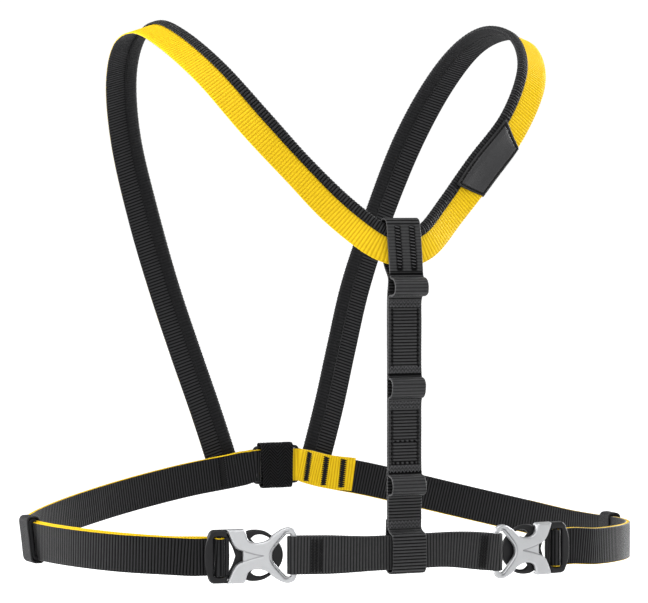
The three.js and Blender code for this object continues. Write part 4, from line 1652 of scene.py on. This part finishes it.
@dataclass(frozen=True)
class RearRing:
    """Plastic ring that joins the belt's halves at the back, under an elastic sleeve."""

    x: float = 2.5
    y: float = 105.2
    z: float = -314.5
    length: float = 37.0
    height: float = 28.2
    bar: float = 2.8
    rail: float = 2.2
    lift: float = 0.35
    thick: float = 3.0
    sides: int = 12
    sleeve_x: float = 1.8
    sleeve_length: float = 25.6
    slack: float = 1.6
    sleeve_height: float = 33.6
    sleeve_depth: float = 10.6
    sleeve_wall: float = 1.3
    sleeve_slant: float = 0.7
    sleeve_taper: float = 0.1

    def build(self) -> None:
        """Makes the ring and its sleeve."""
        plain = Weave(0.8, 0.0, rows=1)
        size = (self.length - self.bar, self.height - self.rail)
        line = rounded_loop(np.array((self.x, self.y, self.z + self.lift)), RIGHT, UP, *size, 2.2)
        strip = wrapped_strip(line, plain, np.array((0.0, 1.0, 0.0)))
        angle = circle(self.sides)
        outline = np.stack([0.5 * self.thick * np.cos(angle), 0.5 * self.rail * np.sin(angle)], axis=1)
        ring = Part()
        ring.sweep(strip, Section(outline, np.zeros(self.sides), np.zeros(self.sides, int)), plain)
        ring.build("ring_moulded", [PLASTIC], Slot.PLASTIC, ["rear_ring"])

        weave = Herringbone(2.3, 0.55, rows=6, column=6.4)
        centre = np.array((self.sleeve_x, self.y, self.z))
        wall = self.sleeve_wall
        ahead = np.array((0.0, -1.0, 0.0))
        loop = rounded_loop(centre, ahead, UP, self.sleeve_depth - wall, self.sleeve_height - wall, 2.6)
        band = wrapped_strip(loop, weave, RIGHT, -1.0)
        half = self.sleeve_length / 2.0
        low = 0.5 - (band.origin[:, 2] - self.z) / self.sleeve_height
        band.origin[:, 0] += self.sleeve_slant * low
        sleeve = Part()
        section = Section.webbing(-half, half, wall, count=70)
        sleeve.sweep(band, section, weave, stretch=1.0 - self.sleeve_taper * low)
        piece = sleeve.build("sleeve_elastic", [ELASTIC, ELASTIC], Slot.ELASTIC, ["rear_sleeve"])
        flat = self.sleeve_length * MM, float(loop.measure()[1][-1]) * MM


def rounded_loop(
    centre: Array, first: Array, second: Array, width: float, height: float, radius: float
) -> Curve:
    """A closed rectangle with round corners.

    Args:
        centre: its middle.
        first: the direction of its width.
        second: the direction of its height.
        width: its width.
        height: its height.
        radius: its corners' radius.

    Returns:
        The loop.
    """
    w, h = width / 2.0 - radius, height / 2.0 - radius
    places = []
    for quarter, (x, y) in enumerate(((w, h), (-w, h), (-w, -h), (w, -h))):
        for angle in np.linspace(quarter, quarter + 1.0, 5) * math.pi / 2.0:
            places.append((x + radius * math.cos(angle), y + radius * math.sin(angle)))
    flat = np.array(places)
    middles = 0.5 * (flat + np.roll(flat, -1, 0))
    joined = []
    for k, place in enumerate(flat):
        joined.append(place)
        if k % 5 == 4:
            joined.append(middles[k])
    outline = np.array(joined)
    return Curve(centre + outline[:, :1] * first + outline[:, 1:] * second, closed=True)


REAR = RearRing()


@dataclass(frozen=True)
class Belt:
    """One half of the belt: tail, turn in the buckle, load layer, turn round the rear ring and a sewn tab.

    A tack is given by how far along the tab it is, and how far its ends are moved to stand it up.
    """

    buckle: BuckleFrame
    rows: tuple[Place, ...]
    tail_rows: int
    tail_drop: float
    rear_tab: float
    tacks: tuple[Pair, ...]
    keeper_row: float
    name: str
    tab_lift: float = 0.0
    keeper_lean: float = 0.0
    load_lift: float = 0.0
    roll_drop: float = 0.3
    tail_sag: float = 0.0
    weave: Weave = Weave(2.1, 0.3)
    load_level: float = -3.0
    bunched_from: float = 90.0
    bunched_half: float = 7.0
    bunched_by: float = 0.05
    keeper_length: float = 14.0
    keeper_height: float = 30.6
    keeper_wall: float = 1.2
    keeper_slack: float = 3.0
    # Thickness of the dark inner loop that stands in for the shade inside the keeper: painted shade.
    keeper_shade_sheet: float = 3.2

    # Places out from the buckle's middle where the tail comes in and the load layer leaves, and its rise
    TAIL_IN = (42.0, 36.0, 32.5)
    LOAD_OUT = (31.0, 36.0, 42.0)
    LOAD_RISE = (0.4, 0.75, 1.0)

    # Zigzags that make up a bar tack: width, pitch
    TACK_ROWS = ((5.2, 0.75), (2.6, 0.55))

    def beside(self, distance: float) -> Array:
        """The rows moved outwards in plan.

        Args:
            distance: how far.

        Returns:
            The moved rows.
        """
        rows = np.array(self.rows)
        run = np.gradient(rows, axis=0)
        run[1:-1] = rows[2:] - rows[:-2]
        run[:, 2] = 0.0
        side = unit(np.stack([run[:, 1], -run[:, 0], np.zeros(len(rows))], axis=1))
        outward = np.sign(np.sum(side * rows, axis=1, keepdims=True))
        return rows + distance * outward * side

    def line(self) -> Curve:
        """Middle line of the webbing.

        Returns:
            A line from the tail's end to the tab's end.
        """
        sign = self.buckle.side.value
        sag = self.tail_drop + self.tail_sag * np.minimum(1.0, 0.35 + 0.45 * np.arange(self.tail_rows + 1))
        tail = (self.beside(LAYER_PITCH)[: self.tail_rows + 1] - sag[:, None] * UP)[::-1]
        tail_in = self.buckle.world(self.TAIL_IN, -self.tail_drop, self.load_level + LAYER_PITCH)
        turn = turn_round(ROLL_HALF, MIDDLE_BAR_RADIUS, 0.0, 1.5)
        rising = 0.1 * self.load_lift - 0.3 * self.roll_drop
        levels = (-self.tail_drop, -self.roll_drop, -self.roll_drop, rising)
        level = np.interp(np.linspace(0.0, 1.5, len(turn)), (0.0, 0.35, 0.9, 1.5), levels)
        roll = self.buckle.world(MIDDLE_BAR_S + turn[:, 0], level, turn[:, 1])
        rise = self.load_lift * np.array(self.LOAD_RISE)
        load_out = self.buckle.world(self.LOAD_OUT, rise, self.load_level)
        rows = np.array(self.rows)
        bar = REAR.x + sign * (REAR.length - REAR.bar) / 2.0
        half = turn_round(REAR.bar / 2.0 + REAR.slack, REAR.thick / 2.0, 0.5, 1.5)
        level = np.full(len(half), REAR.z)
        fold = np.stack([bar + sign * half[:, 0], REAR.y + sign * half[:, 1], level], axis=1)
        start = rows[-1] - np.array((0.0, sign * LAYER_PITCH, 0.0))
        slope = unit(rows[-2] - rows[-1])
        tab = np.stack([start, start + slope * self.rear_tab / 2.0 + self.tab_lift * UP])
        return Curve(np.vstack([tail, tail_in, roll, load_out, rows, fold, tab]))

    def build(self) -> None:
        """Makes the webbing, its bar tacks and its keeper."""
        strip = level_strip(self.line(), self.weave, float(self.buckle.side.value))
        part = Part()
        section = Section.webbing(-WEB_WIDTH / 2.0, WEB_WIDTH / 2.0, WEB_THICK, rim=0.52, plain_high=True)
        bar = REAR.x + self.buckle.side.value * (REAR.length - REAR.bar) / 2.0
        at_rear = strip.origin[:, 1] > self.bunched_from
        bunched = plateau(strip.origin[:, 0] - bar, self.bunched_half) * at_rear
        part.sweep(strip, section, self.weave, stretch=1.0 - self.bunched_by * bunched)
        side = self.buckle.side.name.lower()
        piece = part.build(f"belt_{side}_webbing", [YELLOW, BLACK], Slot.TWO_TONE, [self.name])
        self.build_tacks(strip, side)
        self.build_keeper(side)

    def build_tacks(self, strip: Strip, side: str) -> None:
        """Sews the rear tab down with slanted bar tacks.

        Args:
            strip: the webbing's frames.
            side: the side's name.
        """
        seam = Stitching(0.42)
        end = float(strip.length[-1])
        inward = -1.0 if self.buckle.side is Side.LEFT else 1.0
        for share, skew in self.tacks:
            row = strip.row_at(end - self.rear_tab * (1.0 - share))
            origin, normal = strip.origin[row], strip.normal[row]
            if inward < 0.0:
                origin = origin + LAYER_PITCH * normal
            face = origin + (WEB_THICK / 2.0 + 0.05) * normal
            lean = np.cross(strip.across[row], normal)
            reach = 0.42 * WEB_WIDTH * strip.across[row]
            low, high = face - reach + skew * lean, face + reach - skew * lean
            for width, pitch in self.TACK_ROWS:
                seam.zigzag(low, high, lean, normal, width, pitch)
        seam.build(f"belt_{side}_tacks", Slot.TWO_TONE)

    def build_keeper(self, side: str) -> None:
        """Makes the elastic loop that holds the tail, with a dark loop inside it that stands in for shade:
        painted shade.

        Args:
            side: the side's name.
        """
        weave = Weave(0.9, 0.1, rows=3)
        route = Curve(self.beside((LAYER_PITCH + self.keeper_slack) / 2.0))
        share = np.array([self.keeper_row / (len(self.rows) - 1)])
        centre = route.at(share)[0]
        run = unit(route.along(share)[0] * np.array((1.0, 1.0, 0.0)))
        depth = LAYER_PITCH + WEB_THICK + 4.0 * LAYER_GAP + self.keeper_slack + self.keeper_wall
        across = np.cross(UP, run)
        height = self.keeper_height - self.keeper_wall
        half = self.keeper_length / 2.0
        cover = Section.webbing(-half, half, self.keeper_wall, count=15)
        # A second, dark loop inside the keeper and the darker inner face of the cover stand in for the shade
        # in its opening: painted shade.
        shade_sheet = Section.webbing(0.4 - half, half - 0.4, self.keeper_shade_sheet, count=15)
        shade_sheet.slots[:] = 1
        shade_sheet_inset = self.keeper_wall + self.keeper_shade_sheet
        part = Part()
        for section, inset, radius in ((cover, 0.0, 3.2), (shade_sheet, shade_sheet_inset, 2.2)):
            loop = rounded_loop(centre, across, UP, depth - inset, height - inset, radius)
            band = wrapped_strip(loop, weave, run)
            band.origin += self.keeper_lean * (band.origin[:, 2:] - centre[2]) * run
            part.sweep(band, section, weave)
            float(loop.measure()[1][-1])
        piece = part.build(f"keeper_{side}_elastic", [KEEPER, ELASTIC], Slot.ELASTIC, [f"keeper_{side}"])


LEFT_TACKS = ((0.235, 0.0), (0.668, 0.0))
RIGHT_TACKS = ((0.149, 1.3), (0.489, 0.75), (0.803, 0.2))

# Belt rows: middle of the layer that carries the load, from beside the buckle round to the rear ring
LEFT_ROWS = (
    (-156, -119.5, -348.2), (-183, -100, -346.9), (-204, -73, -345.7), (-216.5, -40, -345.3),
    (-219.5, -8, -345.2), (-206, 27, -345), (-176, 57.5, -340.5), (-140, 79, -334.5),
    (-105, 92, -328.5), (-65, 100.5, -322), (-36, 102.4, -318),
)
RIGHT_ROWS = (
    (148, -121.5, -355.8), (177, -103, -357), (198.5, -76, -358.2), (210.5, -43, -359.6),
    (212.5, -11, -361), (203, 23, -360), (181, 51.5, -354.3), (148, 75, -346),
    (111, 91.5, -336.5), (75, 101.6, -327.5), (42, 107, -320.5),
)


def inside_loops(points: Array, loops: Sequence[Array]) -> Array:
    """Whether points lie inside an outline and outside its holes.

    Args:
        points: the points.
        loops: the outline and its holes, as closed rows of corners.

    Returns:
        True for each point inside.
    """
    crossings = np.zeros(len(points), int)
    for loop in loops:
        ahead = np.roll(loop, -1, 0)
        low, high = loop[None, :, 1], ahead[None, :, 1]
        level = points[:, None, 1]
        passes = (low <= level) != (high <= level)
        rise = np.where(np.abs(high - low) < 1e-12, 1.0, high - low)
        meet = loop[None, :, 0] + (level - low) / rise * (ahead[None, :, 0] - loop[None, :, 0])
        crossings += np.sum(passes & (meet > points[:, None, 0]), axis=1)
    return crossings % 2 == 1


def distance_to(points: Array, loop: Array) -> Array:
    """Distance from points to a closed outline.

    Args:
        points: the points.
        loop: the outline's corners.

    Returns:
        A distance for each point.
    """
    ahead = np.roll(loop, -1, 0)
    run = ahead - loop
    square = np.maximum(np.sum(run * run, axis=1), 1e-12)
    share = np.clip(np.sum((points[:, None] - loop[None]) * run[None], axis=2) / square, 0.0, 1.0)
    return np.min(np.linalg.norm(points[:, None] - loop[None] - share[..., None] * run[None], axis=2), axis=1)


def resample(loop: Array, step: float) -> Array:
    """A closed outline with evenly spaced corners.

    Args:
        loop: the outline's corners.
        step: about how far apart the new ones are.

    Returns:
        The new corners.
    """
    closed = np.vstack([loop, loop[:1]])
    measure = lengths_along(closed)
    wanted = np.linspace(0.0, measure[-1], max(8, round(measure[-1] / step)) + 1)[:-1]
    return np.stack([np.interp(wanted, measure, closed[:, k]) for k in (0, 1)], axis=1)


@dataclass
class Casting:
    """A cast or moulded plate: an outline with holes, its front and back rounded over at the edges."""

    outline: Array
    holes: list[Array]
    front: Level
    back: Level
    round_over: float
    # Painted shade on the front: a level that is low where the grooves are darkened.
    tone_and_groove_shade: Level | None = None
    grid: float = 0.75

    EDGE_STEP = 0.5
    INSETS = (0.22, 0.55, 0.95)

    def add_to(self, part: Part, buckle: BuckleFrame) -> None:
        """Adds the plate to a part, placed in a buckle.

        Args:
            part: where the faces go.
            buckle: where the plate stands.
        """
        loops = [resample(loop, self.EDGE_STEP) for loop in (self.outline, *self.holes)]
        rim = np.vstack(loops)
        candidates, depths = [], []
        for loop in loops:
            run = unit(np.roll(loop, -1, 0) - np.roll(loop, 1, 0))
            out = np.stack([run[:, 1], -run[:, 0]], axis=1)
            for depth in self.INSETS:
                for sign in (1.0, -1.0):
                    candidates.append(loop + sign * depth * out)
                    depths.append(np.full(len(loop), 0.92 * depth))
        low, high = rim.min(0), rim.max(0)
        rows = np.arange(low[1], high[1], self.grid * 0.87)
        for k, t in enumerate(rows):
            s = np.arange(low[0] + (k % 2) * self.grid / 2.0, high[0], self.grid)
            candidates.append(np.stack([s, np.full(len(s), t)], axis=1))
            depths.append(np.full(len(s), self.INSETS[-1] + 0.35))
        places, depth = np.vstack(candidates), np.concatenate(depths)
        nearest = np.min([distance_to(places, loop) for loop in loops], axis=0)
        places = places[inside_loops(places, loops) & (nearest >= depth)]
        links, first = [], 0
        for loop in loops:
            count = len(loop)
            links += [(first + k, first + (k + 1) % count) for k in range(count)]
            first += count
        found = delaunay_2d_cdt([Vector(p) for p in np.vstack([rim, places])], links, [], 0, 1e-6)
        flat = np.array([tuple(p) for p in found[0]])
        triangles = np.array(found[2])
        triangles = triangles[inside_loops(flat[triangles].mean(axis=1), loops)]
        self.close(part, buckle, flat, triangles, loops)

    def close(
        self, part: Part, buckle: BuckleFrame, flat: Array, triangles: Array, loops: list[Array]
    ) -> None:
        """Gives the triangles their heights and joins front to back along the rim.

        Args:
            part: where the faces go.
            buckle: where the plate stands.
            flat: the plate's points as s, t.
            triangles: the triangles between them.
            loops: the outline and its holes.
        """
        from_rim = np.min([distance_to(flat, loop) for loop in loops], axis=0)
        front, back = self.front(flat), self.back(flat)
        parting = 0.5 * (front + back)
        share = 1.0 - np.clip(from_rim / self.round_over, 0.0, 1.0)
        swell = np.sqrt(np.maximum(0.0, 1.0 - share * share))
        top = parting + (front - parting) * swell
        bottom = parting - (parting - back) * swell
        on_rim = from_rim < 1e-4
        below = np.where(on_rim, np.arange(len(flat)), len(flat) + np.cumsum(~on_rim) - 1)
        under = buckle.world(flat[~on_rim, 0], flat[~on_rim, 1], bottom[~on_rim])
        verts = np.vstack([buckle.world(flat[:, 0], flat[:, 1], top), under])
        faces = [tuple(t) for t in triangles.tolist()]
        faces += [tuple(t)[::-1] for t in below[triangles].tolist()]
        crest = np.ones(len(verts))
        # The front's crest trait carries the painted shade in the grooves.
        if self.tone_and_groove_shade is not None:
            crest[: len(flat)] = self.tone_and_groove_shade(flat)
        part.add(verts, faces, [0] * len(faces), {"crest": crest})


def eased(points: Sequence[Pair], count: int) -> list[Pair]:
    """Places along a smooth curve through a few given ones."""
    line = Curve([(s, t, 0.0) for s, t in points]).at(np.linspace(0.0, 1.0, count + 1))
    return [(float(s), float(t)) for s, t, _ in line]


def mirrored(upper: Sequence[Pair]) -> Array:
    """A closed outline from its upper half."""
    return np.array([*upper, *((s, -t) for s, t in reversed(upper))])


@dataclass(frozen=True)
class SideBuckle:
    """Buckle with a cast X body over a moulded frame and plug."""

    place: BuckleFrame
    slot_top: float
    slot_bottom: float
    ear_from: float = 9.0
    ear_to: float = 20.9
    ear_top: float = 17.8
    ear_lip: float = 2.1
    ear_depth: float = 3.2
    frame_end: float = 35.7
    frame_start: float = 20.7
    frame_half: float = 17.6
    end_bar_inner: float = 29.5
    cross_bar: float = 21.9
    end_bar_back: float = 0.2
    frame_back: float = -3.2
    hub_front: float = -0.1
    rail_front: float = 3.2
    wedge_apex: float = -3.3
    wedge_mouth: float = 10.6
    wedge_half: float = 3.6

    def metal(self) -> Casting:
        """The cast body.

        Returns:
            A plate with ears, a waist with a sunk wedge, and grooved arms that close into a ring.
        """
        ear = [(self.wedge_mouth, 0.1), (self.wedge_mouth, 2.6)]
        ear += eased([(10.9, 3.1), (13.6, 4.3), (16.9, 8.0), (18.9, 12.4), (self.ear_to - 0.2, 16.8)], 28)
        top = [(self.ear_to, self.ear_top - 0.4), (self.ear_to - 0.5, self.ear_top)]
        top += [(self.ear_from + 0.9, self.ear_top), (self.ear_from + 0.1, self.ear_top - 0.7)]
        notch = [(8.5, 16.2), (6.6, 10.6), (3.2, 8.9), (-1.6, 8.9), (-6.4, 10.7), (-9.4, 13.6), (-14.5, 17.0)]
        shoulder = eased([(-14.5, 17.0), (-19.3, 18.3), (-23.6, 16.9), (-25.4, 13.9)], 16)[1:]
        outline = mirrored([*ear, *top, *eased(notch, 34), *shoulder])
        bar = RING_BAR_S + RING_BAR_WIDTH / 2.0
        ring_arm = eased([(-9.0, 0.1), (-9.6, 3.0), (-14.0, 8.8), (-18.4, 13.6)], 16)
        ring = mirrored([*ring_arm, (bar + 0.6, 13.9), (bar, 13.2)])
        ring_loop = resample(ring, 0.5)

        def lines(flat: Array) -> tuple[Array, Array, Array]:
            """The sunk wedge, its outline, and the groove beside the ring.

            Args:
                flat: places as s, t.

            Returns:
                Their depths, each from 0 to 1.
            """
            s, t = flat[:, 0], np.abs(flat[:, 1])
            open_share = np.clip((s - self.wedge_apex) / (self.wedge_mouth - self.wedge_apex), 0.0, 2.0)
            half = self.wedge_half * open_share ** 1.25
            in_wedge = (s > self.wedge_apex) & (s < self.wedge_mouth + 4.0)
            wedge = np.where(in_wedge, smoothstep(-0.15, 0.55, half - t), 0.0)
            line = np.where(in_wedge, plateau(half - t, 0.35, 2), 0.0)
            arm = between((5.0, 8.5), (19.0, 21.5), -s)
            return wedge, line, arm * plateau(distance_to(flat, ring_loop) - 1.7, 0.45, 2)

        def front(flat: Array) -> Array:
            """Front height: a sunk wedge at the waist and a groove beside the ring."""
            wedge, line, groove = lines(flat)
            return METAL_BACK + METAL_THICK + 0.25 - 0.45 * wedge - 0.45 * line - 0.75 * groove

        def tone_and_groove_shade(flat: Array) -> Array:
            """Painted shade: the skin is darker in the wedge's outline and in the groove beside the ring."""
            _, line, groove = lines(flat)
            return 1.0 - 0.75 * line - 0.6 * groove

        def back(flat: Array) -> Array:
            """Back height: flat, with the ears turned down over the rails.

            Args:
                flat: places as s, t.

            Returns:
                A height for each.
            """
            s, t = flat[:, 0], np.abs(flat[:, 1])
            lip = smoothstep(self.ear_top - self.ear_lip - 0.3, self.ear_top - self.ear_lip + 0.3, t)
            lip = lip * smoothstep(self.ear_from - 0.4, self.ear_from + 0.3, s)
            return METAL_BACK - (METAL_BACK + self.ear_depth) * lip

        return Casting(outline, [ring], front, back, round_over=1.3, tone_and_groove_shade=tone_and_groove_shade, grid=0.55)

    def frame_casting(self) -> Casting:
        """The moulded frame.

        Returns:
            A plate with an end bar, rails, and a two-pronged plug under the metal.
        """
        in_lip = self.ear_top - self.ear_lip - 0.5
        end, inner, half, low = self.frame_end, self.end_bar_inner, self.slot_top, self.slot_bottom
        corner = [(end, 0.1), (end - 0.4, 6.0), (end - 2.0, 12.0), (31.8, 16.2), (29.6, self.frame_half)]
        start = self.frame_start - 0.5
        rail = [(start, self.frame_half), (start, in_lip + 0.6), (start - 0.3, in_lip)]
        rail += [(self.ear_from, in_lip)]
        prong = [(8.6, 15.4), (5.6, 16.6), (0.3, 16.8), (-5.0, 15.6), (-8.9, 13.2), (-12.0, 10.6)]
        prong = eased([*prong, (-14.4, 8.0), (-16.4, 4.2), (-17.1, 0.0), (-16.4, -4.2)], 90)
        outline = mirrored([*eased(corner, 26), *rail, *((s, t) for s, t in prong if t > 0.05)])
        bar = self.cross_bar
        slot = np.array([
            (inner, half - 0.8), (inner - 0.8, half), (bar + 2.6, half), (bar + 0.6, half - 0.6),
            (bar, half - 1.2), (bar, 0.6 - low), (bar + 0.6, -low), (inner - 3.0, -low),
            (inner - 0.6, 0.5 - low), (inner, 1.1 - low),
        ])
        waist = eased([(18.7, 9.6), (16.3, 4.9), (14.7, 0.1)], 12)
        gap = mirrored([(18.35, 0.1), (18.45, 5.0), (18.65, 9.0), *waist])
        upper = eased([(4.3, 11.0), (1.6, 13.0), (-2.4, 13.4), (-6.4, 12.0), (-8.0, 11.0)], 16)
        upper += eased([(-8.0, 11.0), (-5.5, 8.6), (-2.0, 7.2), (1.4, 8.0), (4.3, 11.0)], 16)[1:-1]
        windows = [np.array(upper), np.array([(s, -t) for s, t in upper])]

        def front(flat: Array) -> Array:
            """Front height: tall frame, low plug and cross bar, and a crowned end bar.

            Args:
                flat: places as s, t.

            Returns:
                A height for each.
            """
            s, t = flat[:, 0], np.abs(flat[:, 1])
            tall = smoothstep(self.frame_start - 1.4, self.frame_start + 0.2, s)
            crossing = (1.0 - smoothstep(half - 0.6, half + 0.2, t)) * (1.0 - smoothstep(25.0, 27.0, s))
            tip = 0.35 * smoothstep(8.0, 16.0, -s)
            return self.hub_front + tip + (self.rail_front - self.hub_front) * tall * (1.0 - crossing)

        def back(flat: Array) -> Array:
            """Back height: flat, with the end bar raised to clear the belt.

            Args:
                flat: places as s, t.

            Returns:
                A height for each.
            """
            s, t = flat[:, 0], flat[:, 1]
            reach = np.where(t > 0.0, half, low)
            raised = smoothstep(inner - 1.0, inner - 0.2, s)
            raised = raised * (1.0 - smoothstep(-0.4, 0.4, np.abs(t) - reach))
            return self.frame_back + (self.end_bar_back - self.frame_back) * raised

        return Casting(outline, [slot, gap, *windows], front, back, round_over=1.15)

    def build(self) -> None:
        """Makes the cast body and the frame."""
        side = self.place.side.name.lower()
        body = Part()
        self.metal().add_to(body, self.place)
        body.build(f"buckle_{side}_cast", [ALUMINIUM], Slot.METAL, [f"buckle_metal_{side}"])
        holder = Part()
        self.frame_casting().add_to(holder, self.place)
        self.add_middle_bar(holder)
        holder.build(f"buckle_{side}_frame", [PLASTIC], Slot.PLASTIC, [f"buckle_frame_{side}"])

    def add_middle_bar(self, holder: Part) -> None:
        """Adds the round bar that the belt turns about, with its ends sunk in the rails.

        Args:
            holder: where the faces go.
        """
        sunk, rings, size = 1.0, 9, 16
        ends = np.linspace(-self.slot_bottom - sunk, self.slot_top + sunk, rings)
        angle = circle(size)
        bar_s = MIDDLE_BAR_S + MIDDLE_BAR_RADIUS * np.cos(angle)
        bar_n = MIDDLE_BAR_RADIUS * np.sin(angle)
        places = self.place.world(bar_s[None], ends[:, None], bar_n[None])
        faces = wall_faces(rings, size) + end_faces(rings, size)
        holder.add(places.reshape(-1, 3), faces, [0] * len(faces))


@dataclass(frozen=True)
class Studio:
    """Camera at the photograph's angle, a pale floor and soft light, in metres."""

    camera_at: Place = (-0.7501, -1.8527, -0.1202)
    looks_at: Place = (-0.0013, 0.0005, -0.190)
    lens: float = 157.78
    sensor: float = 36.0
    sight: float = 200.0
    floor_z: float = -0.62
    floor_size: float = 60.0
    world: Colour = (1.0, 1.0, 1.0)
    world_strength: float = 1.03
    world_dim: float = 0.4
    world_fade: Pair = (0.16, 0.5)

    # Lamps: name, place x, y, z, size, power
    LAMPS = (
        ("top", -0.2, -0.7, 1.6, 1.5, 32.0),
        ("front", -0.9, -2.3, 0.7, 1.2, 19.0),
        ("left", -2.0, 0.7, 0.2, 1.2, 78.0),
        ("right", 2.0, 0.45, 0.2, 1.2, 66.0),
        ("back_left", -1.3, 1.8, 0.2, 1.2, 7.0),
        ("back_right", 2.0, 0.9, 0.2, 1.2, 19.0),
    )

    def stand(self, name: str, data: bpy.types.ID, place: Place) -> bpy.types.Object:
        """Stands a camera or lamp in the studio, turned to the harness.

        Args:
            name: its name.
            data: the camera or lamp.
            place: where it stands.

        Returns:
            The object.
        """
        held = bpy.data.objects.new(name, data)
        held.location = place
        aim = Vector(self.looks_at) - Vector(place)
        held.rotation_euler = aim.to_track_quat("-Z", "Y").to_euler()
        bpy.context.scene.collection.objects.link(held)
        return held

    def build_camera(self) -> None:
        """Makes the camera."""
        lens = bpy.data.cameras.new("camera")
        lens.lens = self.lens
        lens.sensor_width = self.sensor
        lens.clip_end = self.sight
        bpy.context.scene.camera = self.stand("camera", lens, self.camera_at)

    def build_light(self) -> None:
        """Makes the world and the lamps."""
        world = bpy.data.worlds.new("studio")
        world.use_nodes = True
        room = Nodes(world.node_tree)
        place = Value(room, room.node("ShaderNodeTexCoord").outputs["Generated"])
        split = room.node("ShaderNodeSeparateXYZ", {}, {0: place})
        slope = room.math("ABSOLUTE", Value(room, split.outputs["Z"]), 0.0)
        dimmed = self.world_strength - self.world_dim
        strength = self.world_strength - dimmed * room.eased(slope, *self.world_fade)
        sky = room.node("ShaderNodeBackground", {}, {"Color": self.world, "Strength": strength})
        room.node("ShaderNodeOutputWorld", {}, {"Surface": Value(room, sky.outputs[0])})
        bpy.context.scene.world = world
        bpy.context.scene.view_settings.view_transform = "Standard"
        for name, x, y, z, size, power in self.LAMPS:
            lamp = bpy.data.lights.new(name, "AREA")
            lamp.size = size
            lamp.energy = power
            self.stand(name, lamp, (x, y, z))

    def build_floor(self) -> None:
        """Makes the floor."""
        half = self.floor_size / 2.0
        corners = [(x * half, y * half, 0.0) for x, y in ((-1, -1), (1, -1), (1, 1), (-1, 1))]
        mesh = bpy.data.meshes.new("floor")
        mesh.from_pydata(corners, [], [(0, 1, 2, 3)])
        mesh.materials.append(FLOOR.material())
        floor = bpy.data.objects.new("floor", mesh)
        floor.location = (0.0, 0.0, self.floor_z)
        bpy.context.scene.collection.objects.link(floor)

    def build(self) -> None:
        """Makes the camera, light and floor."""
        self.build_camera()
        self.build_light()
        self.build_floor()


def main() -> None:
    """Builds the harness piece by piece."""
    logging.basicConfig(level=logging.INFO, format="%(name)s %(message)s")
    Studio().build()
    straps = ShoulderStraps()
    straps.build_straps()
    straps.build_patch()
    SideBuckle(BUCKLE_LEFT, slot_top=12.75, slot_bottom=12.95).build()
    SideBuckle(BUCKLE_RIGHT, slot_top=12.6, slot_bottom=12.9).build()
    ChestStrap().build()
    REAR.build()
    Riser().build()
    Belt(
        BUCKLE_LEFT, LEFT_ROWS, tail_rows=5, tail_drop=0.0, rear_tab=27.0, tacks=LEFT_TACKS,
        keeper_row=3.5, name="belt_left", keeper_lean=0.3, load_lift=0.9, tail_sag=0.9,
    ).build()
    Belt(
        BUCKLE_RIGHT, RIGHT_ROWS, tail_rows=6, tail_drop=0.15, rear_tab=44.4, tacks=RIGHT_TACKS,
        keeper_row=3.75, name="belt_right", tab_lift=1.6,
    ).build()


if __name__ == "__main__":
    main()
